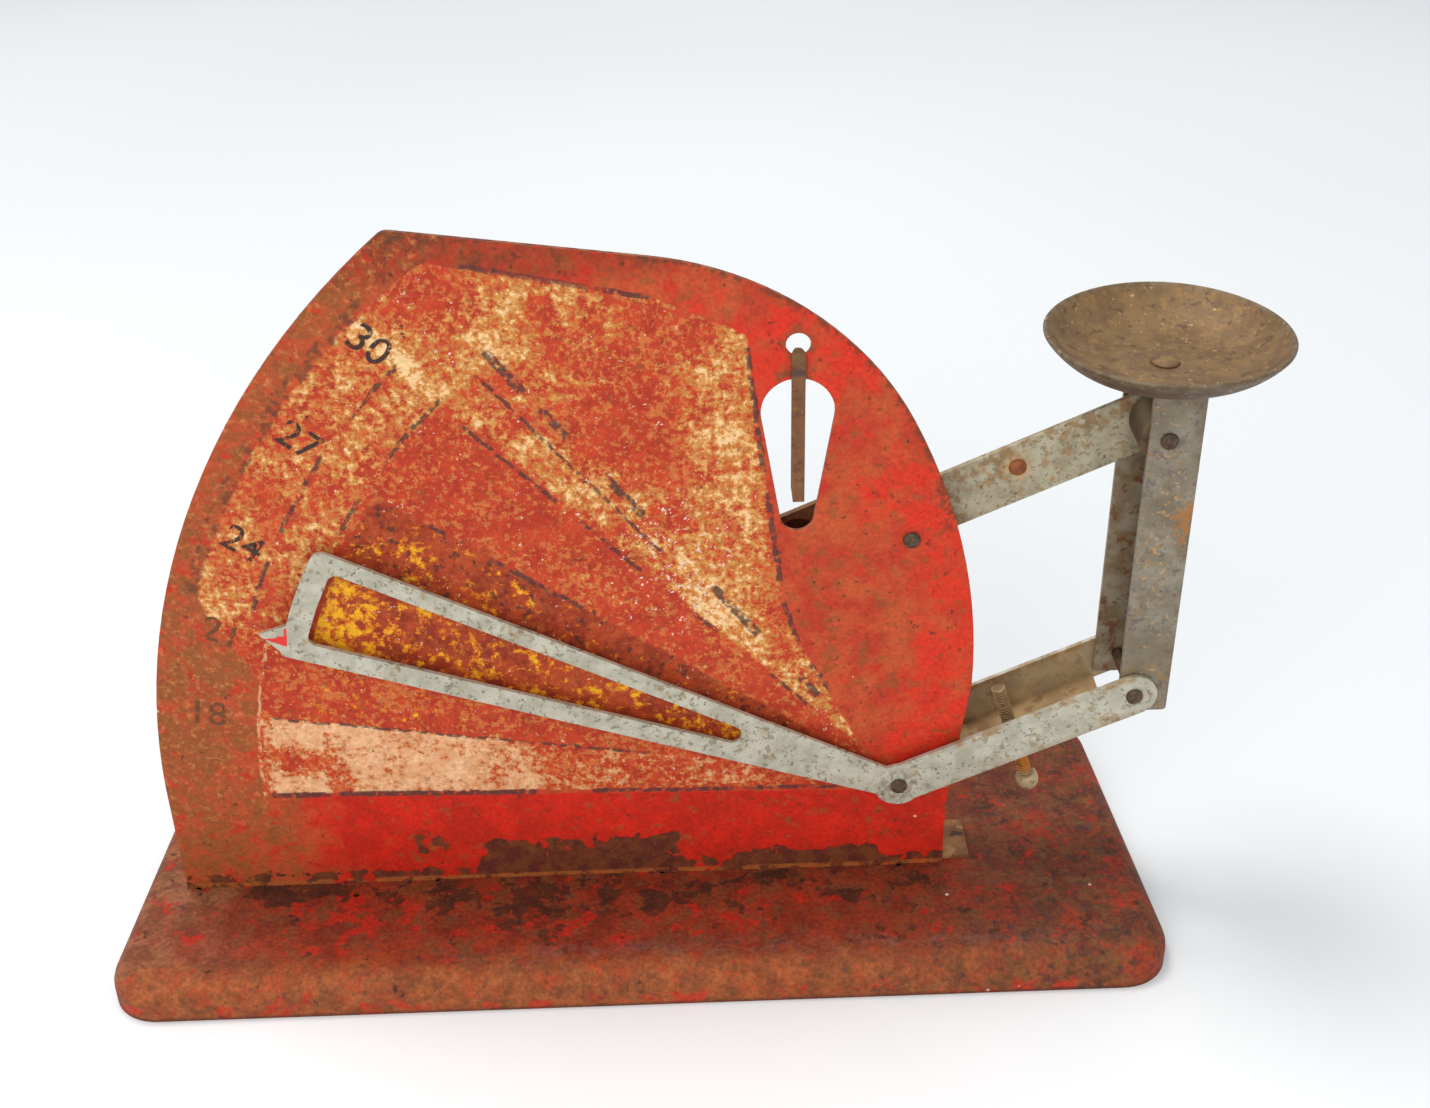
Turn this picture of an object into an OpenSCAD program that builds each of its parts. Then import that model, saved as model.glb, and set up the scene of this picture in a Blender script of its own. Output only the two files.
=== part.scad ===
// Egg scale: a stamped base and dial plate, a parallel linkage with a pointer, and a dished pan.
// The beam turns on a pin near the dial plate's right edge. A link above it keeps the pan level.
// X runs to the right along the dial plate, Y runs back from the dial, Z is up from the table.
// The origin is on the table, at the middle of the space that the whole scale takes up.

/* [Base] */
// Distance from the beam pin to the base's left side, at the front
base_left = 133.4; // [130:0.2:150]
// Distance from the beam pin to the base's right side, at the front
base_right = 45.1; // [43:0.1:56]
// How much each side of the base draws in towards the back
base_taper = 4.3; // [0:0.1:8]
// Distance from the dial plate's face to the base's front edge
base_front = 24.8; // [16:0.2:40]
// Distance from the dial plate's face to the base's back edge
base_back = 44.2; // [32:0.2:60]
// Height of the base's deck above the table
base_h = 7; // [6.5:0.1:12]
// Thickness of the base's sheet steel
base_t = 0.9; // [0.6:0.05:1.2]
// Radius of the base's corners, seen from above
base_corner_r = 9; // [7:0.5:14]
// Radius of the base's turned-down edge
base_edge_r = 4; // [2:0.1:4.5]

/* [Dial plate] */
// Thickness of the dial plate
plate_t = 0.9; // [0.6:0.05:1.2]
// Height of the beam pin above the deck
pivot_rise = 19.8; // [19:0.1:24]
// Height of the link pin above the beam pin
link_rise = 47; // [44:0.1:50]
// How far the link's pins stand to the right of the beam's pins
link_lean = 0.7; // [0:0.1:0.8]
// Distance from the beam pin to the dial plate's left edge
plate_left = 123.7; // [118:0.1:126]
// Distance from the beam pin to the dial plate's right edge, at the deck
plate_foot_right = 8.7; // [7:0.1:9.5]
// Radius of the dial plate's curved left edge
left_arc_r = 130.9; // [128:0.1:136]
// Height of the plate's top left corner above the beam pin
plate_corner_h = 100.6; // [96:0.1:104]
// Radius that rounds the top left corner
plate_corner_r = 2.2; // [1:0.1:4]
// How steeply the top edge falls to the right, in degrees
top_fall = 7.4; // [4:0.1:10]
// Radius of the upper right curve
crown_r = 52.3; // [50:0.1:54]
// Centre of the upper right curve, left of the beam pin
crown_x = 46; // [44:0.1:50]
// Centre of the upper right curve, above the beam pin
crown_h = 43.7; // [42:0.1:46]
// Radius of the long right edge
flank_r = 101.5; // [98:0.5:106]
// Distance from the beam pin to the level window's middle, to the left
window_x = 17.4; // [15:0.1:22]
// Height of the level window's upper round above the beam pin
window_top_h = 70; // [67:0.1:72]
// Radius of the level window's upper round
window_top_r = 5.6; // [4:0.1:7]
// Height of the level window's lower round above the beam pin
window_low_h = 51.8; // [49:0.1:56]
// Radius of the level window's lower round
window_low_r = 2.6; // [2:0.1:3.4]
// Height of the small hanging hole above the level window's upper round
hang_rise = 11.1; // [9.5:0.1:13]
// Radius of the small hanging hole
hang_r = 1.87; // [1.6:0.01:2.6]
// Width of each of the two feet that pass through the deck
foot_w = 41; // [30:0.5:44]
// Middle of the left foot, left of the beam pin
foot_left_x = 100.9; // [96:0.1:102]
// Middle of the right foot, left of the beam pin
foot_right_x = 19.8; // [14:0.1:24]
// How far each foot is folded back under the deck
foot_fold = 3.4; // [2.4:0.1:3.6]

/* [Rear bracket] */
// Thickness of the bracket
bracket_t = 0.9; // [0.7:0.05:1.2]
// Width of the upright
bracket_w = 8; // [7:0.5:9]
// Distance from the dial plate's face to the upright's back
bracket_back = 10.5; // [10.2:0.05:11]
// Left end of the bracket's foot, from the beam pin
bracket_foot_left = 12; // [10:0.5:18]
// Right end of the bracket's foot, from the beam pin
bracket_foot_right = 13.6; // [10:0.1:16]
// Radius of the rivets that hold the foot to the deck
foot_rivet_r = 1.2; // [0.9:0.1:1.3]

/* [Linkage] */
// Distance between the pins of the beam, and of the link
arm_l = 42; // [40:0.1:46]
// Slope of the beam and the link at rest, in degrees
beam_angle = 24; // [21:0.5:26]
// Thickness of the linkage's sheet steel
steel_t = 0.8; // [0.6:0.05:0.9]
// Width of the beam's flanges
beam_w = 7.6; // [7:0.1:8.2]
// Distance from the dial plate's face to the beam's front face
beam_front = 2.6; // [2.4:0.05:3.4]
// Width across the beam's channel, outside
beam_depth = 14.4; // [14:0.05:15]
// Where the beam's web begins, from the beam pin
web_start = 11.6; // [11.2:0.1:16]
// How far the beam's web ends before the post's lower pin
web_end_gap = 5.4; // [5:0.1:9]
// Width of the upper link
link_w = 10; // [8:0.1:10]
// Thickness of the upper link
link_t = 1; // [0.8:0.05:1.2]
// Distance from the dial plate's face to the link's front face
link_y = 6.7; // [6:0.05:6.8]
// Shank radius of the pins
pin_r = 1; // [0.8:0.05:1.2]
// Head radius of the pins
pin_head_r = 1.4; // [1.3:0.05:1.8]
// Height of the pins' heads
pin_head_h = 0.8; // [0.5:0.05:1]
// Radial clearance of everything that turns or slides
run_gap = 0.05; // [0.02:0.01:0.08]
// Clearance between faces that pass each other
face_gap = 0.1; // [0.05:0.01:0.14]
// Radial clearance of pins and rivets that are fixed
fixed_gap = 0.02; // [0.01:0.01:0.05]

/* [Pointer] */
// Distance from the beam pin to the pointer's curved outer end
pointer_r = 104.9; // [100:0.1:108]
// Slope of the pointer's upper edge at rest, in degrees
pointer_top_angle = 27.2; // [25:0.1:29]
// Slope of the pointer's lower edge at rest, in degrees
pointer_low_angle = 18.5; // [16:0.1:20]
// Distance from the beam pin to the line of the pointer's upper edge
pointer_top_gap = 2.3; // [2:0.1:3.5]
// Distance from the beam pin to the line of the pointer's lower edge
pointer_low_gap = 2.8; // [2:0.1:3.5]
// Width of the pointer's upper rail
rail_top_w = 2.95; // [2:0.05:3.5]
// Width of the pointer's lower rail
rail_low_w = 3.4; // [2:0.1:4]
// Width of the pointer's outer rail
rail_end_w = 3.8; // [2.5:0.1:6]
// Distance from the beam pin to the near end of the pointer's window
pointer_window_r = 29; // [26:0.5:40]
// Angle of the pointer's tip at rest, above the horizontal, in degrees
tip_angle = 18.6; // [18:0.1:21]
// How far the tip stands out from the pointer's end
tip_l = 3.7; // [2:0.1:6]
// Angle that the tip's root covers, in degrees
tip_root = 3.2; // [2:0.1:4]
// Radius of the beam's round boss at its pin
hub_r = 4.1; // [3.8:0.1:5]

/* [Adjusting screw] */
// Distance from the beam pin to the screw, along the beam
screw_s = 20.5; // [17:0.1:24]
// Distance from the dial plate's face to the screw
screw_y = 6.6; // [4:0.1:8]
// Radius over the screw's thread
screw_r = 1.15; // [0.9:0.05:1.3]
// How far the screw leans from square to the beam towards upright, in degrees
screw_lean = 6; // [0:0.5:8]
// How far the screw stands above the line of the pins
screw_above = 5; // [2:0.1:8]
// Distance from the line of the pins down to the head's underside
screw_below = 18; // [14:0.1:18.5]
// Radius of the screw's round head
screw_head_r = 1.95; // [1.6:0.05:2.6]
// Height of the screw's round head
screw_head_h = 4.8; // [3:0.1:6]

/* [Counterweight] */
// Distance from the link pin to the counterweight's middle
weight_reach = 44; // [42:0.5:47]
// Slope from the link pin down to the counterweight, at rest, in degrees
weight_slope = 46; // [44:0.5:46.5]
// Radius of the round counterweight
weight_r = 15.5; // [12:0.5:15.5]
// Thickness of the counterweight
weight_t = 14.6; // [8:0.1:18]
// Thickness of the arm that carries it
weight_arm_t = 1.2; // [0.8:0.05:1.4]
// Distance along the link from its pin to the rivet in the arm
arm_rivet_s = 19.3; // [15:0.1:24]
// Height of that rivet above the link's line
arm_rivet_h = 1; // [0:0.1:1.2]
// How far the arm's top edge lies above the line of the link's pins
arm_top = 8.4; // [7:0.1:10]
// Radius of the round recess in the arm's face
arm_dish_r = 3.2; // [1.5:0.1:3.4]
// Depth of that recess
arm_dish_depth = 0.7; // [0.3:0.05:0.7]
// Distance from the link pin to that recess, along the link's line
arm_dish_s = 17.2; // [14:0.1:19]
// Height of that recess above the link's line
arm_dish_h = 4; // [3.4:0.1:4.6]

/* [Post and pan] */
// Width of the post's front flange
post_w = 8.4; // [8.4:0.05:10]
// Distance from the post's pins to the flange's open edge
post_open = 2.4; // [2:0.1:3]
// How much wider the post's rear flange is
post_rear_extra = 1.5; // [0:0.1:1.5]
// How far the post reaches below its lower pin
post_below = 3.7; // [3.2:0.1:3.8]
// How far the post reaches above its upper pin
post_above = 9.5; // [7.6:0.1:14]
// Radius of the thick bushing on the upper pin
bushing_r = 4.4; // [3:0.1:4.4]
// Radius of the pan's rim
pan_r = 18.9; // [17:0.1:24]
// How steep the pan's wall is at its rim, in degrees
pan_slope = 56; // [50:1:70]
// How far the pan's middle lies to the left of the post's middle
pan_shift = 1.37; // [0.5:0.01:1.8]
// Radius of the pan's flat bottom
pan_flat_r = 8; // [6:0.1:9]
// Thickness of the pan's sheet steel
pan_t = 0.7; // [0.5:0.05:0.9]
// Head radius of the rivet in the pan
pan_rivet_head_r = 2.2; // [1.6:0.1:3]

/* [Level pendulum] */
// Width of the hanging strip
strip_w = 2.1; // [1.6:0.1:3]
// Thickness of the hanging strip
strip_t = 0.6; // [0.4:0.05:0.8]
// Length of the hanging strip, from its neck down
strip_l = 24.6; // [18:0.1:26.5]
// Length of the strip's narrower lower end
strip_tip_l = 2.6; // [1:0.1:5]
// How much narrower that end is
strip_tip_step = 0.3; // [0.1:0.05:0.6]
// Width of the strip's neck, where it passes through the hole
strip_neck_w = 1.4; // [1:0.1:1.8]
// Gap between the strip and the dial plate
strip_gap = 0.35; // [0.25:0.05:0.5]

/* [Hidden] */
$fn = 48;
eps = 0.01;

// Places in the scale's own frame: x from the beam pin, y from the dial plate's face
pivot_h = base_h + pivot_rise;
post_x = arm_l * cos(beam_angle);
post_rise = arm_l * sin(beam_angle);
beam_back = beam_depth - beam_front;
post_front = beam_front - steel_t - 2 * face_gap;
post_back = beam_back - steel_t - 2 * face_gap;
post_mid_y = (post_back - post_front) / 2;
pan_x = post_x + post_w / 2 - post_open - pan_shift;
post_top = post_rise + link_rise + post_above;
arm_y = link_y + link_t;
weight_y = arm_y + weight_arm_t;
bracket_y = bracket_back - bracket_t;

// The scale is moved so that the middle of its own box lies over the origin
pivot_x = (base_left - pan_x - pan_r) / 2;
plate_y = (base_front - base_back) / 2;

module place() translate([pivot_x, plate_y, 0]) children();
module at_pivot() place() translate([0, 0, pivot_h]) children();
module at_beam() at_pivot() rotate([0, -beam_angle, 0]) children();
module at_link() at_pivot() translate([link_lean, 0, link_rise]) rotate([0, -beam_angle, 0]) children();
module at_screw() at_beam() translate([screw_s, screw_y, steel_t / 2 - half_w]) rotate([0, screw_lean, 0]) children();
module at_post() at_pivot() translate([post_x, 0, post_rise]) children();

// A flat sheet: an outline in X and Z, from y to y + t
module sheet(points, y, t) translate([0, y + t, 0]) rotate([90, 0, 0]) linear_extrude(t) polygon(points);

// A round bar along Y, from y0 to y1
module bar(x, z, y0, y1, r) translate([x, y0, z]) rotate([-90, 0, 0]) cylinder(h = y1 - y0, r = r);

// A tube along Y, from y0 to y1
module tube(x, z, y0, y1, r, bore) difference() {
    bar(x, z, y0, y1, r);
    bar(x, z, y0 - 1, y1 + 1, bore);
}

// A low domed head on a bar along Y; it stands out from y towards side
module head(x, z, y, side, r, h) translate([x, y, z]) rotate([-90 * side, 0, 0]) rotate_extrude()
    polygon(concat([[0, 0], [r, 0]], [for (a = [0:15:90]) [r * cos(a), h * (0.3 + 0.7 * sin(a))]]));

function unit(v) = v / norm(v);
function on_arc(centre, r, a) = centre + r * [cos(a), sin(a)];
function arc(centre, r, a0, a1, n) = [for (i = [0:n]) on_arc(centre, r, a0 + (a1 - a0) * i / n)];

// Points that round the corner b between a and c, with a radius r
function rounded(a, b, c, r, n = 5) = let(
    u = unit(a - b), v = unit(c - b), half = acos(u * v) / 2,
    centre = b + unit(u + v) * r / sin(half), p = b + u * r / tan(half), q = b + v * r / tan(half),
    a0 = atan2(p.y - centre.y, p.x - centre.x), a1 = atan2(q.y - centre.y, q.x - centre.x),
    turn = a1 - a0, sweep = turn > 180 ? turn - 360 : turn < -180 ? turn + 360 : turn)
    arc(centre, r, a0, a0 + sweep, n);

// An outline with every corner rounded by the same radius
function all_rounded(p, r) = let(n = len(p))
    [for (i = [0:n - 1]) each rounded(p[(i + n - 1) % n], p[i], p[(i + 1) % n], r)];

// Base: an inverted tray of sheet steel
base_centres = [[base_right - base_corner_r, -base_front + base_corner_r],
                [base_right - base_taper - base_corner_r, base_back - base_corner_r],
                [-base_left + base_taper + base_corner_r, base_back - base_corner_r],
                [-base_left + base_corner_r, -base_front + base_corner_r]];

// The tray's solid form, taken in from its outside by t all round and on top
module base_form(t) hull() for (c = base_centres) translate([c.x, c.y, 0]) rotate_extrude() polygon(concat(
    [[0, t > 0 ? -1 : 0], [base_corner_r - t, t > 0 ? -1 : 0]],
    arc([base_corner_r - t - base_edge_r, base_h - t - base_edge_r], base_edge_r, 0, 90, 4), [[0, base_h - t]]));

module base_tray() color("#7a3a28") place() difference() {
    base_form(0);
    base_form(base_t);
    for (x = [-foot_left_x, -foot_right_x]) {
        translate([x - foot_w / 2 - face_gap, -face_gap, base_h / 2])
            cube([foot_w + 2 * face_gap, plate_t + 2 * face_gap, base_h]);
        for (side = [-1, 1]) translate([x + side * (foot_w / 2 + face_gap), plate_t / 2, base_h / 2])
            cylinder(h = base_h, r = plate_t);
    }
    for (x = bracket_rivet_xs) translate([x, bracket_rivet_y, base_h / 2])
        cylinder(h = base_h, r = foot_rivet_r + fixed_gap);
}

// Dial plate: a flat stamping on two feet that pass through the deck and are folded back under it
left_centre = [left_arc_r - plate_left, 0];
crown = [-crown_x, crown_h];
crown_join = 27.4;
crown_start = 90 - top_fall;
crown_end = on_arc(crown, crown_r, crown_join);
flank = crown_end - flank_r * [cos(crown_join), sin(crown_join)];
top_start = on_arc(crown, crown_r, crown_start);
plate_foot = -pivot_rise;
corner_x = left_centre.x - sqrt(left_arc_r * left_arc_r - plate_corner_h * plate_corner_h);
corner = [corner_x, plate_corner_h];
corner_angle = 180 - asin(plate_corner_h / left_arc_r);
plate_points = concat(
    [[-plate_left, plate_foot], [-plate_left, 0]],
    arc(left_centre, left_arc_r, 179, corner_angle + 2, 24),
    rounded(on_arc(left_centre, left_arc_r, corner_angle + 2), corner, top_start, plate_corner_r),
    arc(crown, crown_r, crown_start, crown_join, 20),
    arc(flank, flank_r, crown_join - 2, -1.5, 12),
    [[plate_foot_right + 0.4, -2], [plate_foot_right, plate_foot + 12], [plate_foot_right, plate_foot]]);
hang_h = window_top_h + hang_rise;
window_top = [-window_x, window_top_h];
window_low = [-window_x, window_low_h];
window_lean = asin((window_top_r - window_low_r) / (window_top_h - window_low_h));
window_points = concat(arc(window_top, window_top_r, -window_lean, 180 + window_lean, 24),
    arc(window_low, window_low_r, 180 + window_lean, 360 - window_lean, 14));

module dial_plate() color("#c8281c") at_pivot() {
    difference() {
        sheet(plate_points, 0, plate_t);
        sheet(window_points, -1, plate_t + 2);
        bar(-window_x, hang_h, -1, plate_t + 1, hang_r);
        bar(0, 0, -1, plate_t + 1, pin_r + fixed_gap);
        bar(link_lean, link_rise, -1, plate_t + 1, pin_r + fixed_gap);
    }
    for (x = [-foot_left_x, -foot_right_x]) translate([x - foot_w / 2, 0, plate_foot - base_t - plate_t]) {
        cube([foot_w, plate_t, base_t + plate_t + eps]);
        cube([foot_w, foot_fold, plate_t]);
    }
}

// Rear bracket: an upright behind the dial plate that holds the far ends of the two pins
bracket_rivet_y = bracket_y - foot_rivet_r * 2.75;
bracket_rivet_xs = [-bracket_foot_left + 4, bracket_foot_right - 7];
bracket_top = link_rise + 5;

module rear_bracket() color("#8a4a34") at_pivot() difference() {
    union() {
        translate([-bracket_w / 2, bracket_y, plate_foot])
            cube([bracket_w, bracket_t, bracket_top - plate_foot - bracket_w / 2]);
        bar(0, bracket_top - bracket_w / 2, bracket_y, bracket_back, bracket_w / 2);
        translate([-bracket_foot_left, plate_t + fixed_gap, plate_foot])
            cube([bracket_foot_left + bracket_foot_right, bracket_back - plate_t - fixed_gap, bracket_t]);
    }
    bar(0, 0, bracket_y - 1, bracket_back + 1, pin_r + fixed_gap);
    bar(link_lean, link_rise, bracket_y - 1, bracket_back + 1, pin_r + fixed_gap);
    for (x = bracket_rivet_xs) translate([x, bracket_rivet_y, plate_foot - 1])
        cylinder(h = bracket_t + 2, r = foot_rivet_r + fixed_gap);
}

// Two rivets through the bracket's foot and the deck
module bracket_rivets() color("#7a3a28") at_pivot() for (x = bracket_rivet_xs)
    translate([x, bracket_rivet_y, plate_foot]) {
        translate([0, 0, -base_t]) cylinder(h = base_t + bracket_t, r = foot_rivet_r);
        translate([0, 0, bracket_t]) cylinder(h = 0.7, r1 = foot_rivet_r * 1.6, r2 = foot_rivet_r);
        translate([0, 0, -base_t - 0.6]) cylinder(h = 0.6, r = foot_rivet_r * 1.5);
    }

// Beam pin: its front head keeps the pointer on, its far end is spread behind the beam
beam_head_y = -beam_front - face_gap;
beam_tail_y = beam_back + face_gap;
module beam_pin() color("#5c5650") at_pivot() {
    bar(0, 0, beam_head_y, beam_tail_y, pin_r);
    head(0, 0, beam_head_y, -1, pin_head_r, pin_head_h);
    head(0, 0, beam_tail_y, 1, pin_head_r, pin_head_h);
}

// Tube on the beam pin, between the dial plate and the bracket
module beam_spacer() color("#8d877c") at_pivot()
    tube(0, 0, plate_t, bracket_y, pin_r * 2, pin_r + fixed_gap);

// Two washers on the beam pin that keep the beam clear of the plate and the bracket
module beam_washers() color("#8d877c") at_pivot() {
    tube(0, 0, -beam_front + steel_t + face_gap, 0, pin_r * 2.2, pin_r + fixed_gap);
    tube(0, 0, bracket_back, beam_back - steel_t - face_gap, pin_r * 2.2, pin_r + fixed_gap);
}

// Link pin: headed on the dial's face and spread behind the bracket
module link_pin() color("#5c5650") at_pivot() {
    bar(link_lean, link_rise, -eps, bracket_back + eps, pin_r);
    head(link_lean, link_rise, 0, -1, pin_head_r, pin_head_h);
    head(link_lean, link_rise, bracket_back, 1, pin_head_r, pin_head_h);
}

// Tube on the link pin, between the dial plate and the link
module link_spacer() color("#8d877c") at_pivot()
    tube(link_lean, link_rise, plate_t, link_y - face_gap, pin_r * 2, pin_r + fixed_gap);

// Washer on the link pin, between the counterweight's arm and the bracket
module link_washer() color("#8d877c") at_pivot()
    tube(link_lean, link_rise, weight_y + face_gap, bracket_y, pin_r * 2.2, pin_r + fixed_gap);

// Beam: one stamping, a channel to the right of its pin and the pointer to the left
half_w = beam_w / 2;
web_end = arm_l - web_end_gap;
arm_outline = [[0, -half_w], [arm_l, -half_w], [arm_l, half_w], [0, half_w]];
// A point on a line at angle a that passes the beam pin at distance gap, at radius r from the pin
function ray(a, gap, r) = let(l = sqrt(r * r - gap * gap)) [gap * sin(a) - l * cos(a), gap * cos(a) + l * sin(a)];
function wedge(top_gap, low_gap, r0, r1) = [ray(pointer_low_angle, low_gap, r0), ray(pointer_top_angle, top_gap, r0),
    ray(pointer_top_angle, top_gap, r1), ray((pointer_top_angle + pointer_low_angle) / 2, 0, r1),
    ray(pointer_low_angle, low_gap, r1)];
pointer_edge = wedge(pointer_top_gap, -pointer_low_gap, hub_r - 1, pointer_r);
pointer_points = concat([pointer_edge[0], pointer_edge[1]],
    rounded(pointer_edge[1], pointer_edge[2], pointer_edge[3], 2),
    [for (a = [6:-1:-2]) ray((pointer_top_angle + pointer_low_angle) / 2 + a * 0.5, 0, pointer_r)],
    rounded(pointer_edge[3], pointer_edge[4], pointer_edge[0], 1.2));
pointer_window = all_rounded(wedge(pointer_top_gap - rail_top_w, -pointer_low_gap + rail_low_w,
    pointer_window_r, pointer_r - rail_end_w), 1.4);
tip_points = [ray(tip_angle, 0, pointer_r + tip_l), ray(tip_angle - tip_root / 2, 0, pointer_r - 1.4),
    ray(tip_angle, 0, pointer_r - 6), ray(tip_angle + tip_root / 2, 0, pointer_r - 0.2)];

module pointer_beam() color("#b3ae9f") difference() {
    union() {
        at_pivot() difference() {
            sheet(pointer_points, -beam_front, steel_t);
            sheet(pointer_window, -beam_front - 1, steel_t + 2);
        }
        at_pivot() sheet(tip_points, -beam_front, steel_t);
        at_pivot() bar(0, 0, -beam_front, -beam_front + steel_t, hub_r);
        at_beam() for (y = [-beam_front, beam_back - steel_t]) {
            sheet(arm_outline, y, steel_t);
            bar(arm_l, 0, y, y + steel_t, half_w);
        }
        at_beam() bar(0, 0, beam_back - steel_t, beam_back, half_w);
        at_beam() translate([web_start, -beam_front, -half_w])
            cube([web_end - web_start, beam_depth, steel_t]);
    }
    at_beam() bar(0, 0, -beam_front - 1, beam_back + 1, pin_r + run_gap);
    at_beam() bar(arm_l, 0, -beam_front - 1, beam_back + 1, pin_r + fixed_gap);
    at_screw() translate([0, 0, -steel_t / 2 - 1]) cylinder(h = steel_t + 2, r = screw_r + run_gap);
}

// Lower pin of the post, fixed in the beam's two flanges
module post_lower_pin() color("#5c5650") at_beam() {
    bar(arm_l, 0, -beam_front - eps, beam_back + eps, pin_r);
    head(arm_l, 0, -beam_front, -1, pin_head_r, pin_head_h);
    head(arm_l, 0, beam_back, 1, pin_head_r, pin_head_h);
}

// Adjusting screw: threaded through the beam's web, its head is what meets the deck
screw_low = half_w - steel_t / 2 - screw_below;
module adjusting_screw() color("#9a7a4e") at_screw() translate([0, 0, screw_low]) {
    translate([0, 0, screw_head_h]) cylinder(h = screw_below - screw_head_h + screw_above, r = screw_r);
    cylinder(h = screw_head_h, r = screw_head_r);
}

// Upper link: a flat bar with round ends, a little narrower at the post
link_half = link_w / 2;
link_end = link_half - 0.6;
module upper_link() color("#b3ae9f") at_link() difference() {
    union() {
        sheet([[0, -link_half], [arm_l - 2.4, -link_half], [arm_l, -link_end], [arm_l, link_end],
            [arm_l - 2.4, link_half], [0, link_half]], link_y, link_t);
        bar(0, 0, link_y, link_y + link_t, link_half);
        bar(arm_l, 0, link_y, link_y + link_t, link_end);
    }
    bar(0, 0, link_y - 1, link_y + link_t + 1, pin_r + run_gap);
    bar(arm_l, 0, link_y - 1, link_y + link_t + 1, pin_r + run_gap);
    bar(arm_rivet_s, arm_rivet_h, link_y - 1, link_y + link_t + 1, pin_r + fixed_gap);
}

// Counterweight's arm: a stamping behind the link, riveted to it, that widens to the left of its pin
weight_place = -weight_reach * [cos(weight_slope - beam_angle), sin(weight_slope - beam_angle)];
arm_half = link_half - 0.8;
arm_points = all_rounded([[arm_rivet_s + 4, -arm_half], [arm_rivet_s + 4, arm_half], [2, arm_half],
    [-8, arm_top], [-arm_dish_s - 7, arm_top], [weight_place.x - 7, weight_place.y + 4],
    [weight_place.x - 2, weight_place.y - 7], [weight_place.x + 8, weight_place.y - 2], [-4, -arm_half]], 1.5);
module weight_arm() color("#857a6a") at_link() difference() {
    sheet(arm_points, arm_y, weight_arm_t);
    bar(0, 0, arm_y - 1, weight_y + 1, pin_r + run_gap);
    bar(arm_rivet_s, arm_rivet_h, arm_y - 1, weight_y + 1, pin_r + fixed_gap);
    bar(-arm_dish_s, arm_dish_h, arm_y - 1, arm_y + arm_dish_depth, arm_dish_r);
    bar(weight_place.x, weight_place.y, arm_y - 1, weight_y + 1, weight_rivet_r + fixed_gap);
}

// Rivet that joins the link and the arm
module arm_rivet() color("#8a4a20") at_link() {
    bar(arm_rivet_s, arm_rivet_h, link_y - eps, weight_y + eps, pin_r);
    head(arm_rivet_s, arm_rivet_h, link_y, -1, pin_head_r, pin_head_h);
    head(arm_rivet_s, arm_rivet_h, weight_y, 1, pin_head_r, pin_head_h / 2);
}

// Counterweight: a round cast slug behind the arm
weight_rivet_r = 1.6;
module counterweight() color("#4c4844") at_link()
    tube(weight_place.x, weight_place.y, weight_y, weight_y + weight_t, weight_r, weight_rivet_r + fixed_gap);

// Rivet that holds the counterweight to its arm
module counterweight_rivet() color("#5c5650") at_link() {
    bar(weight_place.x, weight_place.y, arm_y - eps, weight_y + weight_t + eps, weight_rivet_r);
    head(weight_place.x, weight_place.y, arm_y, -1, weight_rivet_r * 1.6, 1);
    head(weight_place.x, weight_place.y, weight_y + weight_t, 1, weight_rivet_r * 1.6, 1);
}

// Post: an upright channel, open towards the dial, with a tab on top that carries the pan
post_right = post_w - post_open;
post_high = link_rise + post_above;
module post_channel() color("#aaa595") at_post() difference() {
    union() {
        translate([-post_open, -post_front, -post_below]) cube([post_w, steel_t, post_high + post_below]);
        translate([-post_open - post_rear_extra, post_back - steel_t, -post_below])
            cube([post_w + post_rear_extra, steel_t, post_high + post_below]);
        translate([post_right - steel_t, -post_front, -post_below])
            cube([steel_t, post_back + post_front, post_high + post_below]);
        translate([-post_open, -post_front, post_high - steel_t]) cube([post_w, post_back + post_front, steel_t]);
    }
    bar(0, 0, -post_front - 1, post_back + 1, pin_r + run_gap);
    bar(link_lean, link_rise, -post_front - 1, post_back + 1, pin_r + fixed_gap);
    translate([pan_x - post_x, post_mid_y, post_high - steel_t - 1]) cylinder(h = steel_t + 2, r = pin_r + fixed_gap);
}

// Upper pin of the post, fixed in the post's flanges; the link turns on it
module post_upper_pin() color("#5c5650") at_post() {
    bar(link_lean, link_rise, -post_front - eps, post_back + eps, pin_r);
    head(link_lean, link_rise, -post_front, -1, pin_head_r, pin_head_h - 0.1);
    head(link_lean, link_rise, post_back, 1, pin_head_r, pin_head_h / 2);
}

// Thick bushing on the upper pin, in front of the link
module post_bushing() color("#4a3526") at_post()
    tube(link_lean, link_rise, -post_front + steel_t, link_y - face_gap, bushing_r, pin_r + fixed_gap);

// Washer on the upper pin, behind the link
module post_washer() color("#8d877c") at_post()
    tube(link_lean, link_rise, link_y + link_t + face_gap, post_back - steel_t, pin_r * 2.2, pin_r + fixed_gap);

// Pan: a round dish with a flat bottom, whose wall rises in an arc
pan_steps = 10;
pan_arc = (pan_r - pan_flat_r) / sin(pan_slope);
function pan_wall(t) = [for (i = [0:pan_steps]) let(a = pan_slope * i / pan_steps)
    [pan_flat_r + (pan_arc - pan_t + t) * sin(a), pan_arc - (pan_arc - pan_t + t) * cos(a)]];
function reversed(p) = [for (i = [len(p) - 1:-1:0]) p[i]];
pan_profile = concat([[pin_r + fixed_gap, pan_t], [pin_r + fixed_gap, 0]], pan_wall(pan_t), reversed(pan_wall(0)));
pan_z = post_top;
module egg_pan() color("#8b6f52") at_pivot() translate([pan_x, post_mid_y, pan_z])
    rotate_extrude($fn = 96) polygon(pan_profile);

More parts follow.
